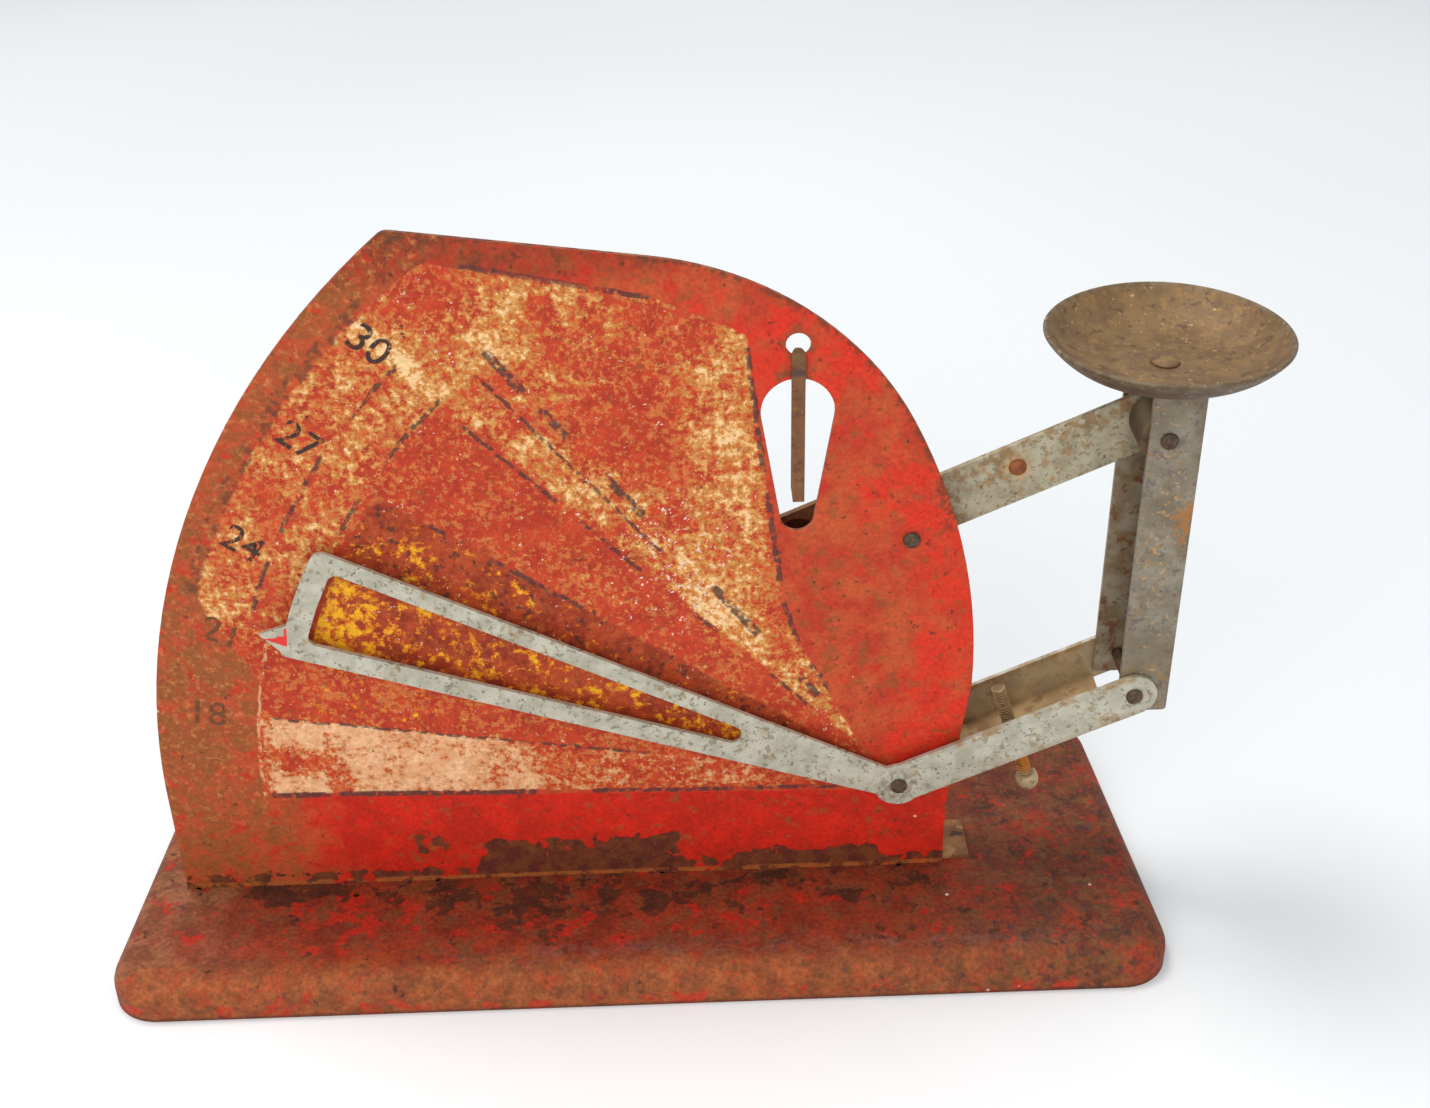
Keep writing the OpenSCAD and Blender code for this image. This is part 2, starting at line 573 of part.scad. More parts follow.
// Rivet through the pan's bottom and the post's tab
module pan_rivet() color("#6a5a48") at_pivot() translate([pan_x, post_mid_y, pan_z]) {
    translate([0, 0, -steel_t - eps]) cylinder(h = steel_t + pan_t + 2 * eps, r = pin_r);
    translate([0, 0, pan_t]) rotate([-90, 0, 0]) head(0, 0, 0, -1, pan_rivet_head_r, 0.8);
    translate([0, 0, -steel_t]) rotate([-90, 0, 0]) head(0, 0, 0, 1, pin_r * 1.5, 0.6);
}

// Level pendulum: a strip hooked through the small hole, hanging in front of the window
neck_low = hang_h - sqrt(hang_r * hang_r - strip_neck_w * strip_neck_w / 4) + 0.18;
strip_front = -strip_gap - strip_t;
strip_back = plate_t + strip_gap;
module level_pendulum() color("#7a4c2c") at_pivot() translate([-window_x, 0, 0]) {
    translate([-strip_w / 2, strip_front, neck_low - strip_l + strip_tip_l])
        cube([strip_w, strip_t, strip_l - strip_tip_l]);
    translate([-strip_w / 2 + strip_tip_step, strip_front, neck_low - strip_l])
        cube([strip_w - strip_tip_step, strip_t, strip_tip_l + eps]);
    translate([-strip_neck_w / 2, strip_front, neck_low - eps])
        cube([strip_neck_w, strip_back + strip_t - strip_front, strip_t + eps]);
    translate([-strip_neck_w / 2, strip_back, neck_low - 2.6]) cube([strip_neck_w, strip_t, 2.6 + strip_t]);
}

base_tray();
dial_plate();
rear_bracket();
bracket_rivets();
beam_pin();
beam_spacer();
beam_washers();
link_pin();
link_spacer();
link_washer();
pointer_beam();
post_lower_pin();
adjusting_screw();
upper_link();
weight_arm();
arm_rivet();
counterweight();
counterweight_rivet();
post_channel();
post_upper_pin();
post_bushing();
post_washer();
egg_pan();
pan_rivet();
level_pendulum();
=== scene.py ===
from contextlib import contextmanager
from math import cos, pi, radians, sin
from statistics import NormalDist

import bpy
from mathutils import Matrix, Vector


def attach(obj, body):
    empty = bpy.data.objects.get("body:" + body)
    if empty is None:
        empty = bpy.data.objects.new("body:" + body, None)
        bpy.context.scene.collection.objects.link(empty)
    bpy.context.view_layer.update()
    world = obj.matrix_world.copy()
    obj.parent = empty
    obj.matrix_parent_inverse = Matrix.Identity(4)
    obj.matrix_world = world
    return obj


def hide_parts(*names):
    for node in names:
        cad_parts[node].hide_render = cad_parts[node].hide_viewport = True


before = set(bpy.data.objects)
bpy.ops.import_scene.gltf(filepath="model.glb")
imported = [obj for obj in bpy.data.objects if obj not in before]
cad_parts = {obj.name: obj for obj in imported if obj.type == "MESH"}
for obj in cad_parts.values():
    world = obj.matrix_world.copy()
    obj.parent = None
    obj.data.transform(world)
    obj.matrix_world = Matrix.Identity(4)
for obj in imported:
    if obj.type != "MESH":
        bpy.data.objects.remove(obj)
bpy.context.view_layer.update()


# Studio: the scale stands on a plain pale table. The camera stands in front of
# the dial and looks down on it. Soft light falls from above and from the front.
camera = bpy.data.objects.new("camera", bpy.data.cameras.new("camera"))
bpy.context.collection.objects.link(camera)
right, up, back = (0.99934, -0.03248, -0.01619), (0.0308, 0.52302, 0.85177), (-0.0192, -0.8517, 0.52367)
camera.rotation_mode = "QUATERNION"
camera.rotation_quaternion = Matrix((right, up, back)).transposed().to_quaternion()
camera.location = (0.0020656, -0.254048, 0.222511)
camera.data.lens = 45.93
camera.data.clip_start = 0.01
bpy.context.scene.camera = camera
bpy.context.scene.view_settings.view_transform = "Standard"


def rgb(red, green, blue):
    """A colour as it is seen, from 0 to 255, made into the light that it stands for."""
    shares = [v / 255 for v in (red, green, blue)]
    return tuple(v / 12.92 if v <= 0.04045 else ((v + 0.055) / 1.055) ** 2.4 for v in shares) + (1.0,)


class Wire:
    """A number, colour or place in a material. Python's operators on it add the nodes that work them out."""

    def __init__(self, tree, socket):
        self.tree = tree
        self.socket = socket

    def node(self, kind, settings, sockets, output=0):
        """A new node of one kind, with its settings, and with values or wires in its sockets."""
        made = self.tree.nodes.new("ShaderNode" + kind)
        for name, value in settings.items():
            setattr(made, name, value)
        for name, value in sockets.items():
            if isinstance(value, Wire):
                self.tree.links.new(value.socket, made.inputs[name])
            else:
                made.inputs[name].default_value = value
        return Wire(self.tree, made.outputs[output])

    def other(self, output):
        """Another output of the node that this wire comes from."""
        return Wire(self.tree, self.socket.node.outputs[output])

    def maths(self, operation, first, second=0.0):
        return self.node("Math", {"operation": operation}, {0: first, 1: second})

    def __add__(self, value):
        return self.maths("ADD", self, value)

    __radd__ = __add__

    def __sub__(self, value):
        return self.maths("SUBTRACT", self, value)

    def __rsub__(self, value):
        return self.maths("SUBTRACT", value, self)

    def __mul__(self, value):
        return self.maths("MULTIPLY", self, value)

    __rmul__ = __mul__

    def __or__(self, value):
        return self.maths("MAXIMUM", self, value)

    def __abs__(self):
        return self.maths("ABSOLUTE", self)

    def root(self):
        return self.maths("SQRT", self)

    def ramp(self, low, high):
        """0 below low, 1 above high, and the other way round where low is the higher one."""
        return self.node("MapRange", {"interpolation_type": "SMOOTHSTEP"},
                         {"Value": self, "From Min": low, "From Max": high})

    def within(self, low, high, soft=0.4):
        """1 between low and high, fading over soft on each side."""
        return self.ramp(low - soft, low + soft) * self.ramp(high + soft, high - soft)

    def mix(self, off, on):
        """The colour `on` where this mask is 1, over the colour `off`."""
        return self.node("Mix", {"data_type": "RGBA"}, {0: self, 6: off, 7: on}, 2)

    def shading(self, colour, depth):
        """A colour made darker and lighter, by up to the share `depth`, where this noise is low and high."""
        light = self.ramp(0.3, 0.7) * (2 * depth) + (1 - depth)
        return self.node("VectorMath", {"operation": "SCALE"}, {0: colour, "Scale": light})


table_top = bpy.data.materials.new("table_paper")
table_top.use_nodes = True
table_shader = table_top.node_tree.nodes["Principled BSDF"]
table_spot = Wire(table_top.node_tree, table_top.node_tree.nodes.new("ShaderNodeTexCoord").outputs["Object"])
table_cloud = table_spot.node("TexNoise", {}, {"Vector": table_spot, "Scale": 2.2, "Detail": 1.0})
table_colour = table_cloud.ramp(0.35, 0.65).mix(rgb(232, 236, 239), rgb(240, 243, 245))
table_top.node_tree.links.new(table_colour.socket, table_shader.inputs["Base Color"])
table_shader.inputs["Roughness"].default_value = 0.8
bpy.ops.object.select_all(action="DESELECT")
bpy.ops.mesh.primitive_plane_add(size=12)
table = bpy.context.object
table.name = "table"
table.data.materials.append(table_top)

object_light, backdrop_light = 0.6, 0.3
world = bpy.data.worlds.new("studio")
bpy.context.scene.world = world
world.use_nodes = True
room = world.node_tree.nodes["Background"]
rays = Wire(world.node_tree, world.node_tree.nodes.new("ShaderNodeLightPath").outputs["Is Camera Ray"])
seen = rays | rays.other("Is Glossy Ray") | rays.other("Is Transmission Ray")
world.node_tree.links.new((seen * backdrop_light + object_light).socket, room.inputs["Strength"])
room.inputs["Color"].default_value = (0.97, 0.985, 1.0, 1.0)


def soft_lamp(name, place, aim, size, watts, colour):
    """A square soft lamp that faces the point `aim`."""
    lamp = bpy.data.objects.new(name, bpy.data.lights.new(name, "AREA"))
    lamp.location = place
    lamp.rotation_euler = (Vector(aim) - Vector(place)).to_track_quat("-Z", "Y").to_euler()
    lamp.data.size = size
    lamp.data.energy = watts
    lamp.data.color = colour
    bpy.context.collection.objects.link(lamp)


soft_lamp("lamp_above", (-0.2, 0.14, 0.9), (0.02, 0.0, 0.05), 0.34, 4.2, (1.0, 0.98, 0.95))
soft_lamp("lamp_front", (-0.25, -1.0, 0.75), (0.0, 0.0, 0.05), 0.9, 6.5, (1.0, 0.99, 0.97))


# Base tray: the foot of the scale, drawn from one sheet of steel and painted red.
# Its edge is turned down all round, and slots in its deck take the dial's feet.
# Most of the paint has rusted brown.
beam_pin_x, dial_face_y, beam_pin_z = 0.0378506, -0.0097, 0.0268
beam_pin_place = (beam_pin_x, dial_face_y, beam_pin_z)


def from_pin(x, y, z):
    """A place given in millimetres from the beam's pin, at the dial's face."""
    return Vector((beam_pin_x + x / 1000, dial_face_y + y / 1000, beam_pin_z + z / 1000))


class Finish:
    """A piece's material. x, y and z are in millimetres from `centre`, turned about Y by `turn` degrees."""

    def __init__(self, name, centre=beam_pin_place, turn=0.0):
        self.material = bpy.data.materials.new(name)
        self.material.use_nodes = True
        self.tree = self.material.node_tree
        spot = Wire(self.tree, self.tree.nodes.new("ShaderNodeTexCoord").outputs["Object"])
        self.place = spot.node("Mapping", {"vector_type": "TEXTURE"}, {
            "Vector": spot, "Location": centre, "Rotation": (0, radians(-turn), 0), "Scale": (0.001, 0.001, 0.001)})
        self.x = self.place.node("SeparateXYZ", {}, {0: self.place})
        self.y, self.z = self.x.other("Y"), self.x.other("Z")

    def cloud(self, size, seed, detail=4.0, rough=0.55):
        """Noise about 0.5 whose blotches are about `size` millimetres across."""
        moved = self.place.node("Mapping", {}, {
            "Vector": self.place, "Location": (seed * 31.7, seed * -17.3, seed * 23.9)})
        return moved.node("TexNoise", {}, {
            "Vector": moved, "Scale": 1 / size, "Detail": detail, "Roughness": rough})

    def mottled(self, first, second, spread, size, seed, *grain):
        """Two colours that run into each other in blotches, over less of the surface where `spread` is low."""
        return self.cloud(size, seed, *grain).ramp(0.5 - spread, 0.5 + spread).mix(first, second)

    def patches(self, size, share, seed, detail=5.0, edge=0.015, more=0.0, rough=0.6):
        """Ragged patches over about `share` of the surface, and over more of it where `more` is high."""
        level = NormalDist(0.5, 0.1).inv_cdf(1 - share)
        noise = self.cloud(size, seed, detail, rough)
        return (noise + more if isinstance(more, Wire) else noise).ramp(level - edge, level + edge)

    def specks(self, gap, radius, share, seed):
        """Small specks `radius` millimetres wide, in a share of the cells of a mesh of `gap` millimetres."""
        moved = self.place.node("Mapping", {}, {
            "Vector": self.place, "Location": (seed * 13.1, seed * 7.7, seed * -9.3)})
        wobble = self.cloud(radius * 1.5, seed, 2.0) * 0.5 + 0.75
        near = moved.node("TexVoronoi", {}, {"Vector": moved, "Scale": 1 / gap, "Randomness": 1.0})
        chosen = near.node("SeparateColor", {}, {0: near.other("Color")})
        speck = (near * wobble).ramp(radius * 1.25 / gap, radius * 0.75 / gap)
        return speck * chosen.ramp(1 - share, 1.001 - share)

    def blot(self, x, far, wide, high, upwards=None):
        """A soft round patch in the plane of X and Z, or of X and `upwards`, with its middle at x and far."""
        across = (self.x - x) * (1 / wide)
        along = ((upwards or self.z) - far) * (1 / high)
        return (across * across + along * along).ramp(1, 0.1)

    def finish(self, colour, roughness, height=None, depth=0.05, metallic=0.0, shine=0.5):
        """Sends the colours and numbers to the shader. `height`, from 0 to 1, stands out by `depth` millimetres."""
        shader = self.tree.nodes["Principled BSDF"]
        shader.inputs["Specular IOR Level"].default_value = shine
        links = {"Base Color": colour, "Roughness": roughness, "Metallic": metallic}
        if height is not None:
            links["Normal"] = height.node("Bump", {}, {"Height": height, "Distance": depth / 1000})
        for name, value in links.items():
            if isinstance(value, Wire):
                self.tree.links.new(value.socket, shader.inputs[name])
            else:
                shader.inputs[name].default_value = value
        return self.material


def pick(*pieces):
    """Selects these pieces and nothing else. The last one is the active one."""
    bpy.ops.object.select_all(action="DESELECT")
    for piece in pieces:
        piece.select_set(True)
        bpy.context.view_layer.objects.active = piece


@contextmanager
def editing(piece, mode, test=lambda corners: True):
    """Edit mode on one piece, with the edges or faces selected whose corners all pass the test."""
    pick(piece)
    bpy.ops.object.mode_set(mode="EDIT")
    bpy.ops.mesh.select_mode(type=mode)
    bpy.ops.mesh.select_all(action="DESELECT")
    bpy.ops.object.mode_set(mode="OBJECT")
    mesh = piece.data
    for part in mesh.edges if mode == "EDGE" else mesh.polygons:
        part.select = test([mesh.vertices[i].co for i in part.vertices])
    bpy.ops.object.mode_set(mode="EDIT")
    yield
    bpy.ops.object.mode_set(mode="OBJECT")


def modified(piece, kind, **settings):
    """Adds a modifier to a piece and applies it."""
    pick(piece)
    modifier = piece.modifiers.new(kind, kind)
    for name, value in settings.items():
        setattr(modifier, name, value)
    bpy.ops.object.modifier_apply(modifier=modifier.name)


def cut(piece, cutter):
    """Takes the cutter's form out of a piece, and the cutter away."""
    modified(piece, "BOOLEAN", object=cutter, operation="DIFFERENCE", solver="EXACT")
    bpy.data.objects.remove(cutter)


def placed(piece, body, material, node, smooth=35):
    """Ends a piece: its place goes into its mesh, it gets its material and body, and the CAD node it stands for is
    hidden.
    """
    pick(piece)
    bpy.ops.object.transform_apply(location=True, rotation=True, scale=True)
    bpy.ops.object.shade_smooth_by_angle(angle=radians(smooth))
    modified(piece, "WEIGHTED_NORMAL", keep_sharp=True)
    piece.data.materials.clear()
    piece.data.materials.append(material)
    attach(piece, body)
    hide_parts(node)


base_left, base_right, base_front, base_back, base_taper = -133.4, 45.1, -24.8, 44.2, 4.3
deck, table_level = -19.8, -26.8
corner_radius, turned_edge_radius, base_sheet = 0.009, 0.004, 0.0009
pick()
bpy.ops.mesh.primitive_cube_add(size=1)
base = bpy.context.object
base.name = "stamped_base"
for corner in base.data.vertices:
    draw_in = base_taper if corner.co.y > 0 else 0
    corner.co = from_pin(base_left + draw_in if corner.co.x < 0 else base_right - draw_in,
                         base_back if corner.co.y > 0 else base_front,
                         deck if corner.co.z > 0 else table_level)
# Its four upright corners are rounded, its underside is opened, and the edge of its deck is turned down
with editing(base, "EDGE", lambda ends: abs(ends[0].z - ends[1].z) > 0.001):
    bpy.ops.mesh.bevel(offset=corner_radius, segments=14, profile=0.5)
with editing(base, "FACE", lambda corners: max(p.z for p in corners) < 0.0001):
    bpy.ops.mesh.delete(type="FACE")
with editing(base, "EDGE", lambda ends: min(p.z for p in ends) > 0.0069):
    bpy.ops.mesh.bevel(offset=turned_edge_radius, segments=7, profile=0.5)
modified(base, "SOLIDIFY", thickness=base_sheet, offset=-1.0, use_even_offset=True)

# Two slots with a round notch at each end take the plate's feet, and a small hole lies to their left
plate_middle, slot_half, slot_width, cutter_height = 0.45, 20.6, 0.0011, 0.004
notch_radius, hole_radius = 0.0009, 0.0006


def drilled(x, y, radius, sides):
    """Drills a round hole through the base's deck."""
    pick()
    bpy.ops.mesh.primitive_cylinder_add(vertices=sides, radius=radius, depth=cutter_height,
                                        location=from_pin(x, y, deck))
    cut(base, bpy.context.object)


for foot_x in (-100.9, -19.8):
    pick()
    bpy.ops.mesh.primitive_cube_add(size=1, location=from_pin(foot_x, plate_middle, deck),
                                    scale=(slot_half * 2 / 1000, slot_width, cutter_height))
    cut(base, bpy.context.object)
    drilled(foot_x - slot_half, plate_middle, notch_radius, 24)
    drilled(foot_x + slot_half, plate_middle, notch_radius, 24)
drilled(-93.8, -3.2, hole_radius, 20)

rust = Finish("base_paint_rusted")
spot_x = rust.x + (rust.cloud(20, 2, 5.0) - 0.5) * 70
left_part, right_part = spot_x.ramp(-100, -126), spot_x.ramp(-22, 34)
front_band = (rust.y + (rust.cloud(7, 3, 6.0, 0.65) - 0.5) * 13).ramp(-17.6, -23.2)

# The deck: brown all over, greyer at its left end and darker at its right end, with some red left
colour = rust.mottled(rgb(118, 42, 24), rgb(148, 54, 28), 0.1, 7, 4, 6.0, 0.65)
colour = (rust.patches(3.6, 0.35, 5, 6.0, 0.05) * 0.7).mix(colour, rgb(118, 66, 36))
left_colour = rust.mottled(rgb(150, 98, 66), rgb(112, 66, 42), 0.1, 4, 6, 6.0, 0.65)
colour = (left_part * 0.8).mix(colour, left_colour)
right_colour = rust.mottled(rgb(112, 68, 42), rgb(90, 46, 32), 0.1, 4, 7, 6.0, 0.65)
colour = (right_part * 0.75).mix(colour, right_colour)
red_share = rust.blot(-93, -8, 15, 7, rust.y) * 0.12 + rust.blot(-48, -13, 34, 7, rust.y) * 0.06
red_share = red_share - right_part * 0.03
colour = (rust.patches(4.5, 0.12, 8, 6.0, 0.03, red_share) * 0.85).mix(colour, rgb(178, 38, 22))

# The turned edge at the front: orange brown, with red low down
front_colour = rust.mottled(rgb(166, 92, 48), rgb(134, 74, 40), 0.12, 4, 9, 6.0, 0.65)
front_colour = (rust.patches(2.6, 0.2, 17, 6.0, 0.05) * 0.6).mix(front_colour, rgb(110, 66, 38))
red_edge = rust.patches(3.4, 0.18, 18, 6.0, 0.06, right_part * 0.05)
front_colour = (red_edge * 0.5).mix(front_colour, rgb(178, 62, 36))
front_colour = (right_part * 0.45).mix(front_colour, rgb(116, 62, 38))
colour = (front_band * 0.85).mix(colour, front_colour)
ridge = rust.y.within(-21, -17.5, 2.2) * rust.x.within(-72, 30, 14) * rust.cloud(3, 19, 5.0).ramp(0.38, 0.62)
colour = (ridge * 0.5).mix(colour, rgb(126, 92, 78))
low_edge = front_band * rust.z.ramp(-21.5, -25.5)
colour = (rust.patches(4, 0.03, 10, 6.0, 0.04, low_edge * 0.13) * 0.8).mix(colour, rgb(186, 50, 28))

# Where the paint is gone: dark in zones at the right end, and dark along the foot of the plate, which is also
# painted shade for the plate's shadow on the deck
bare_and_shade_share = rust.blot(-104, -2, 13, 3.4, rust.y)
for bare_spot in ((-79, -5, 5, 6), (-62, -8, 9, 11), (-43, -7, 5, 4)):
    bare_and_shade_share = bare_and_shade_share | rust.blot(*bare_spot, rust.y)
# Painted shade: this band along the plate's foot adds dark patches there, standing in for the plate's shadow on the
# deck
bare_and_shade_share = bare_and_shade_share | rust.y.within(-9, 2, 4) * rust.x.within(-112, 6, 6) * 0.5
dark = rust.patches(3.6, 0.07, 11, 6.0, 0.03, bare_and_shade_share * 0.2 + right_part * 0.045 - front_band * 0.05)
colour = (dark * 0.9).mix(colour, rust.mottled(rgb(64, 34, 24), rgb(84, 44, 26), 0.1, 3, 12))
zone = rust.cloud(8, 21, 7.0, 0.68)
colour = (zone.ramp(0.47, 0.4) * (right_part * 0.5 + 0.15)).mix(colour, rgb(158, 50, 28))
colour = (zone.ramp(0.53, 0.6) * right_part * 0.6).mix(colour, rgb(76, 46, 30))
olive = rust.patches(2.4, 0.08, 20, 6.0, 0.05, right_part * 0.07)
colour = (olive * 0.6).mix(colour, rgb(112, 76, 42))
blue_black = rust.patches(2.2, 0.06, 13, 6.0, 0.08, right_part * 0.06 + ridge * 0.05)
colour = (blue_black * 0.6).mix(colour, rgb(58, 44, 46))
colour = (rust.patches(1.6, 0.03, 14, 4.0, 0.03, right_part * 0.04) * 0.8).mix(colour, rgb(166, 48, 30))
colour = (rust.specks(5, 0.3, 0.07, 15) * 0.8).mix(colour, rgb(224, 200, 184))
colour = (rust.z.ramp(-25.8, -26.7) * 0.7).mix(colour, rgb(84, 48, 36))
grain = rust.cloud(0.8, 1, 5.0, 0.7)
base_finish = rust.finish(grain.shading(colour, 0.27), 0.55 + 0.3 * rust.cloud(7, 16), grain - dark * 0.4,
                          0.16, shine=0.22)
placed(base, "frame", base_finish, "base_tray")


# Dial plate: a flat stamping in sheet steel that stands on two feet through the
# deck. It is painted red, and a cream and yellow dial is printed on its face. The
# print has flaked, and the plate has rusted along its foot.
def softened(node, name, body, material, edge, folds=None, fold=0.0):
    """A copy of a CAD node with its edges worn round by `edge` millimetres, and its bends by `fold`."""
    piece = bpy.data.objects.new(name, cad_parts[node].data.copy())
    bpy.context.collection.objects.link(piece)
    with editing(piece, "FACE"):
        bpy.ops.mesh.customdata_custom_splitnormals_clear()
        bpy.ops.mesh.remove_doubles(threshold=0.000002)
        bpy.ops.mesh.dissolve_degenerate(threshold=0.00003)
        bpy.ops.mesh.dissolve_limited(angle_limit=radians(0.6))
    if folds:
        with editing(piece, "EDGE", folds):
            bpy.ops.mesh.bevel(offset=fold / 1000, segments=4, profile=0.5)
    modified(piece, "BEVEL", width=edge / 1000, segments=2, limit_method="ANGLE", angle_limit=radians(40),
             use_clamp_overlap=True)
    placed(piece, body, material, node)


# The print's own places are a little uneven, so that no printed edge is quite straight
dial = Finish("dial_paint_printed")
x = dial.x + (dial.cloud(2.5, 1, 2.0) - 0.5) * 0.9
z = dial.z + (dial.cloud(2.5, 2, 2.0) - 0.5) * 0.9
reach = (x * x + z * z).root()
turned = x.maths("ARCTAN2", z, x * -1.0) * (180 / pi)
face = dial.y.ramp(0.4, 0.1)


def sector(low, high, soft=0.25):
    """1 between two angles about the beam's pin, counted up from the left, in degrees."""
    return turned.within(low, high, soft)


def thin(distance, width):
    """1 on a printed line, from the distance to its middle."""
    return abs(distance).ramp(width * 0.62, width * 0.38)


def lengths(place, spans, soft):
    """1 between each pair of places along a printed line."""
    mask = place.within(*spans[0], soft)
    for span in spans[1:]:
        mask = mask | place.within(*span, soft)
    return mask


def stroke(start, end, width):
    """1 on a straight printed line from start to end."""
    line = Vector(end) - Vector(start)
    length, line = line.length, line.normalized()
    along = x * line.x + z * line.y - (start[0] * line.x + start[1] * line.y)
    across = x * line.y - z * line.x - (start[0] * line.y - start[1] * line.x)
    return along.within(0, length, 0.3) * thin(across, width)


def radial(angle, width, *spans):
    """1 on a printed line towards the pin, between pairs of distances from the pin."""
    return thin((turned - angle) * reach * (pi / 180), width) * lengths(reach, spans, 0.4)


def ring(radius, width, *spans):
    """1 on a printed arc about the pin, between pairs of angles."""
    return thin(reach - radius, width) * lengths(turned, spans, 0.3)


# The printed area's outline
right_side = (x + 19.2 + 0.122 * (z - 33)).ramp(0.3, -0.3) | (x + 19.2 - 0.483 * (33 - z)).ramp(0.3, -0.3)
top_side = (z - 94.6 + 0.18 * (x + 66)).ramp(0.3, -0.3) * (z - 89.9 + 0.466 * (x + 39.9)).ramp(0.3, -0.3)
left_limit = 107.3 + turned.ramp(12, 21) * 12.2
printed = face * right_side * top_side * (reach - left_limit).ramp(0.35, -0.35)
printed = printed * (z + 2.0 + 0.0247 * x).ramp(-0.2, 0.2) * (x - z).ramp(-172, -170)

# The red ground: fresher at the right edge and on the lower band, browner at the left and on top
lower = (z + 1.4 + 0.0247 * (x + 60)).ramp(0.2, -0.2)
fresh = dial.blot(-17, 80, 20, 12) | dial.blot(9, 40, 11, 46) | dial.blot(0, 52, 15, 13) | dial.blot(4, 8, 10, 15)
ground = dial.mottled(rgb(184, 58, 34), rgb(192, 82, 44), 0.12, 5, 3, 6.0, 0.65)
bright = dial.patches(5, 0.1, 4, 6.0, 0.13, fresh * 0.17 - dial.blot(-8, 36, 12, 26) * 0.12)
ground = (bright * 0.85).mix(ground, rgb(216, 46, 26))
band_colour = dial.mottled(rgb(210, 38, 20), rgb(184, 36, 18), 0.12, 6, 5, 6.0, 0.65)
band = lower * (dial.x + (dial.cloud(6, 6, 5.0) - 0.5) * 40).ramp(-106, -92)
ground = band.mix(ground, band_colour)
far_left = (dial.x + (dial.cloud(9, 7, 5.0) - 0.5) * 30).ramp(-98, -110)
far_left = far_left | reach.ramp(119, 121) * dial.z.ramp(20, 34)
ground = far_left.mix(ground, dial.mottled(rgb(182, 76, 42), rgb(148, 82, 40), 0.12, 3.5, 8, 6.0, 0.65))
top_margin = dial.z.ramp(91, 94.5) * dial.x.ramp(-22, -48)
top_colour = dial.cloud(4, 9, 6.0, 0.65).ramp(0.36, 0.6).mix(rgb(112, 58, 32), rgb(168, 54, 30))
ground = (top_margin * 0.85).mix(ground, top_colour)
ground = (dial.patches(3.0, 0.1, 10, 6.0, 0.04, far_left * 0.03) * 0.75).mix(ground, rgb(196, 44, 28))
olive_share = far_left * 0.06 + dial.blot(-8, 38, 15, 36) * 0.05
olive_share = olive_share + top_margin * 0.04 + dial.blot(-118, 6, 12, 26) * 0.07
ground = (dial.patches(2.6, 0.12, 11, 6.0, 0.05, olive_share) * 0.6).mix(ground, rgb(144, 80, 40))
ground = (dial.patches(1.5, 0.05, 12, 5.0, 0.03, top_margin * 0.04) * 0.75).mix(ground, rgb(88, 50, 36))

# How much of the print's cream is left: most on the rings and lines, least in the dark wedge
share = 0.42 * sector(46, 53, 1) + 0.3 * turned.ramp(52, 54)
share = share + 0.42 * reach.ramp(100.5, 102.5) * sector(17, 47, 1)
share = share | sector(35, 46) * 0.06 | sector(9, 17) * 0.1 | sector(-1, 9) * (0.34 + 0.4 * x.ramp(-46, -78))
share = share + dial.blot(-28, 56, 9, 46) * 0.22 + dial.blot(-57, 87, 14, 10) * 0.22
share = share - x.ramp(-104, -107) * sector(-1, 9) * 0.4
share = share - (dial.blot(-36, 84, 10, 6) | dial.blot(-45, 68, 12, 8) | dial.blot(-75, 91, 8, 5)) * 0.3
share = share - (dial.blot(-99.5, 7.5, 6, 4) | dial.blot(-94.5, 3, 3, 7) | dial.blot(-55, 88, 3, 3)) * 0.4
dark_wedge = sector(17.5, 35, 0.6) * reach.ramp(101, 99.5)
flaked = dial.cloud(1.3, 13, 7.0, 0.72) + (dial.cloud(5, 14, 5.0) - 0.5) * 0.5 + (share - 0.5) * 0.34
flaked = flaked - dark_wedge * 0.5

# The print's colours, from bare red to cream, and its worn yellow sector
tone = dial.cloud(3, 15, 5.0)
tone_wide, tone_tight = tone.ramp(0.35, 0.65), tone.ramp(0.4, 0.6)
dialled = tone_wide.mix(rgb(194, 66, 36), rgb(174, 52, 30))
dialled = dark_wedge.mix(dialled, tone_tight.mix(rgb(142, 48, 24), rgb(172, 66, 32)))
dialled = (dial.patches(2.4, 0.1, 16, 5.0, 0.04) * (1 - dark_wedge) * 0.6).mix(dialled, rgb(150, 78, 38))
dialled = flaked.ramp(0.435, 0.465).mix(dialled, rgb(204, 104, 52))
dialled = flaked.ramp(0.482, 0.508).mix(dialled, tone_tight.mix(rgb(206, 138, 66), rgb(218, 152, 84)))
dialled = flaked.ramp(0.565, 0.61).mix(dialled, rgb(240, 198, 144))
pink_cream = tone_tight.mix(rgb(232, 176, 138), rgb(214, 146, 108))
dialled = (sector(-1, 9) * flaked.ramp(0.475, 0.525) * 0.65).mix(dialled, pink_cream)
yellow_share = sector(17.5, 26) * (0.34 + 0.26 * x.ramp(-82, -92) + 0.2 * x.ramp(-36, -30))
upper_yellow = 0.13 + 0.2 * dial.blot(-80, 46, 10, 8) + 0.2 * dial.blot(-65, 38, 11, 7)
yellow_share = yellow_share | sector(26, 35) * upper_yellow | sector(10, 17) * x.within(-98, -70, 5) * 0.2
gilt = dial.cloud(1.6, 17, 7.0, 0.7) + (dial.cloud(4, 18) - 0.5) * 0.4 + (yellow_share - 0.5) * 0.36
gilt = gilt - reach.ramp(100, 101.5) - (1 - sector(9, 36)) * 0.3
dialled = gilt.ramp(0.46, 0.5).mix(dialled, rgb(206, 110, 26))
dialled = gilt.ramp(0.52, 0.57).mix(dialled, rgb(234, 170, 28))
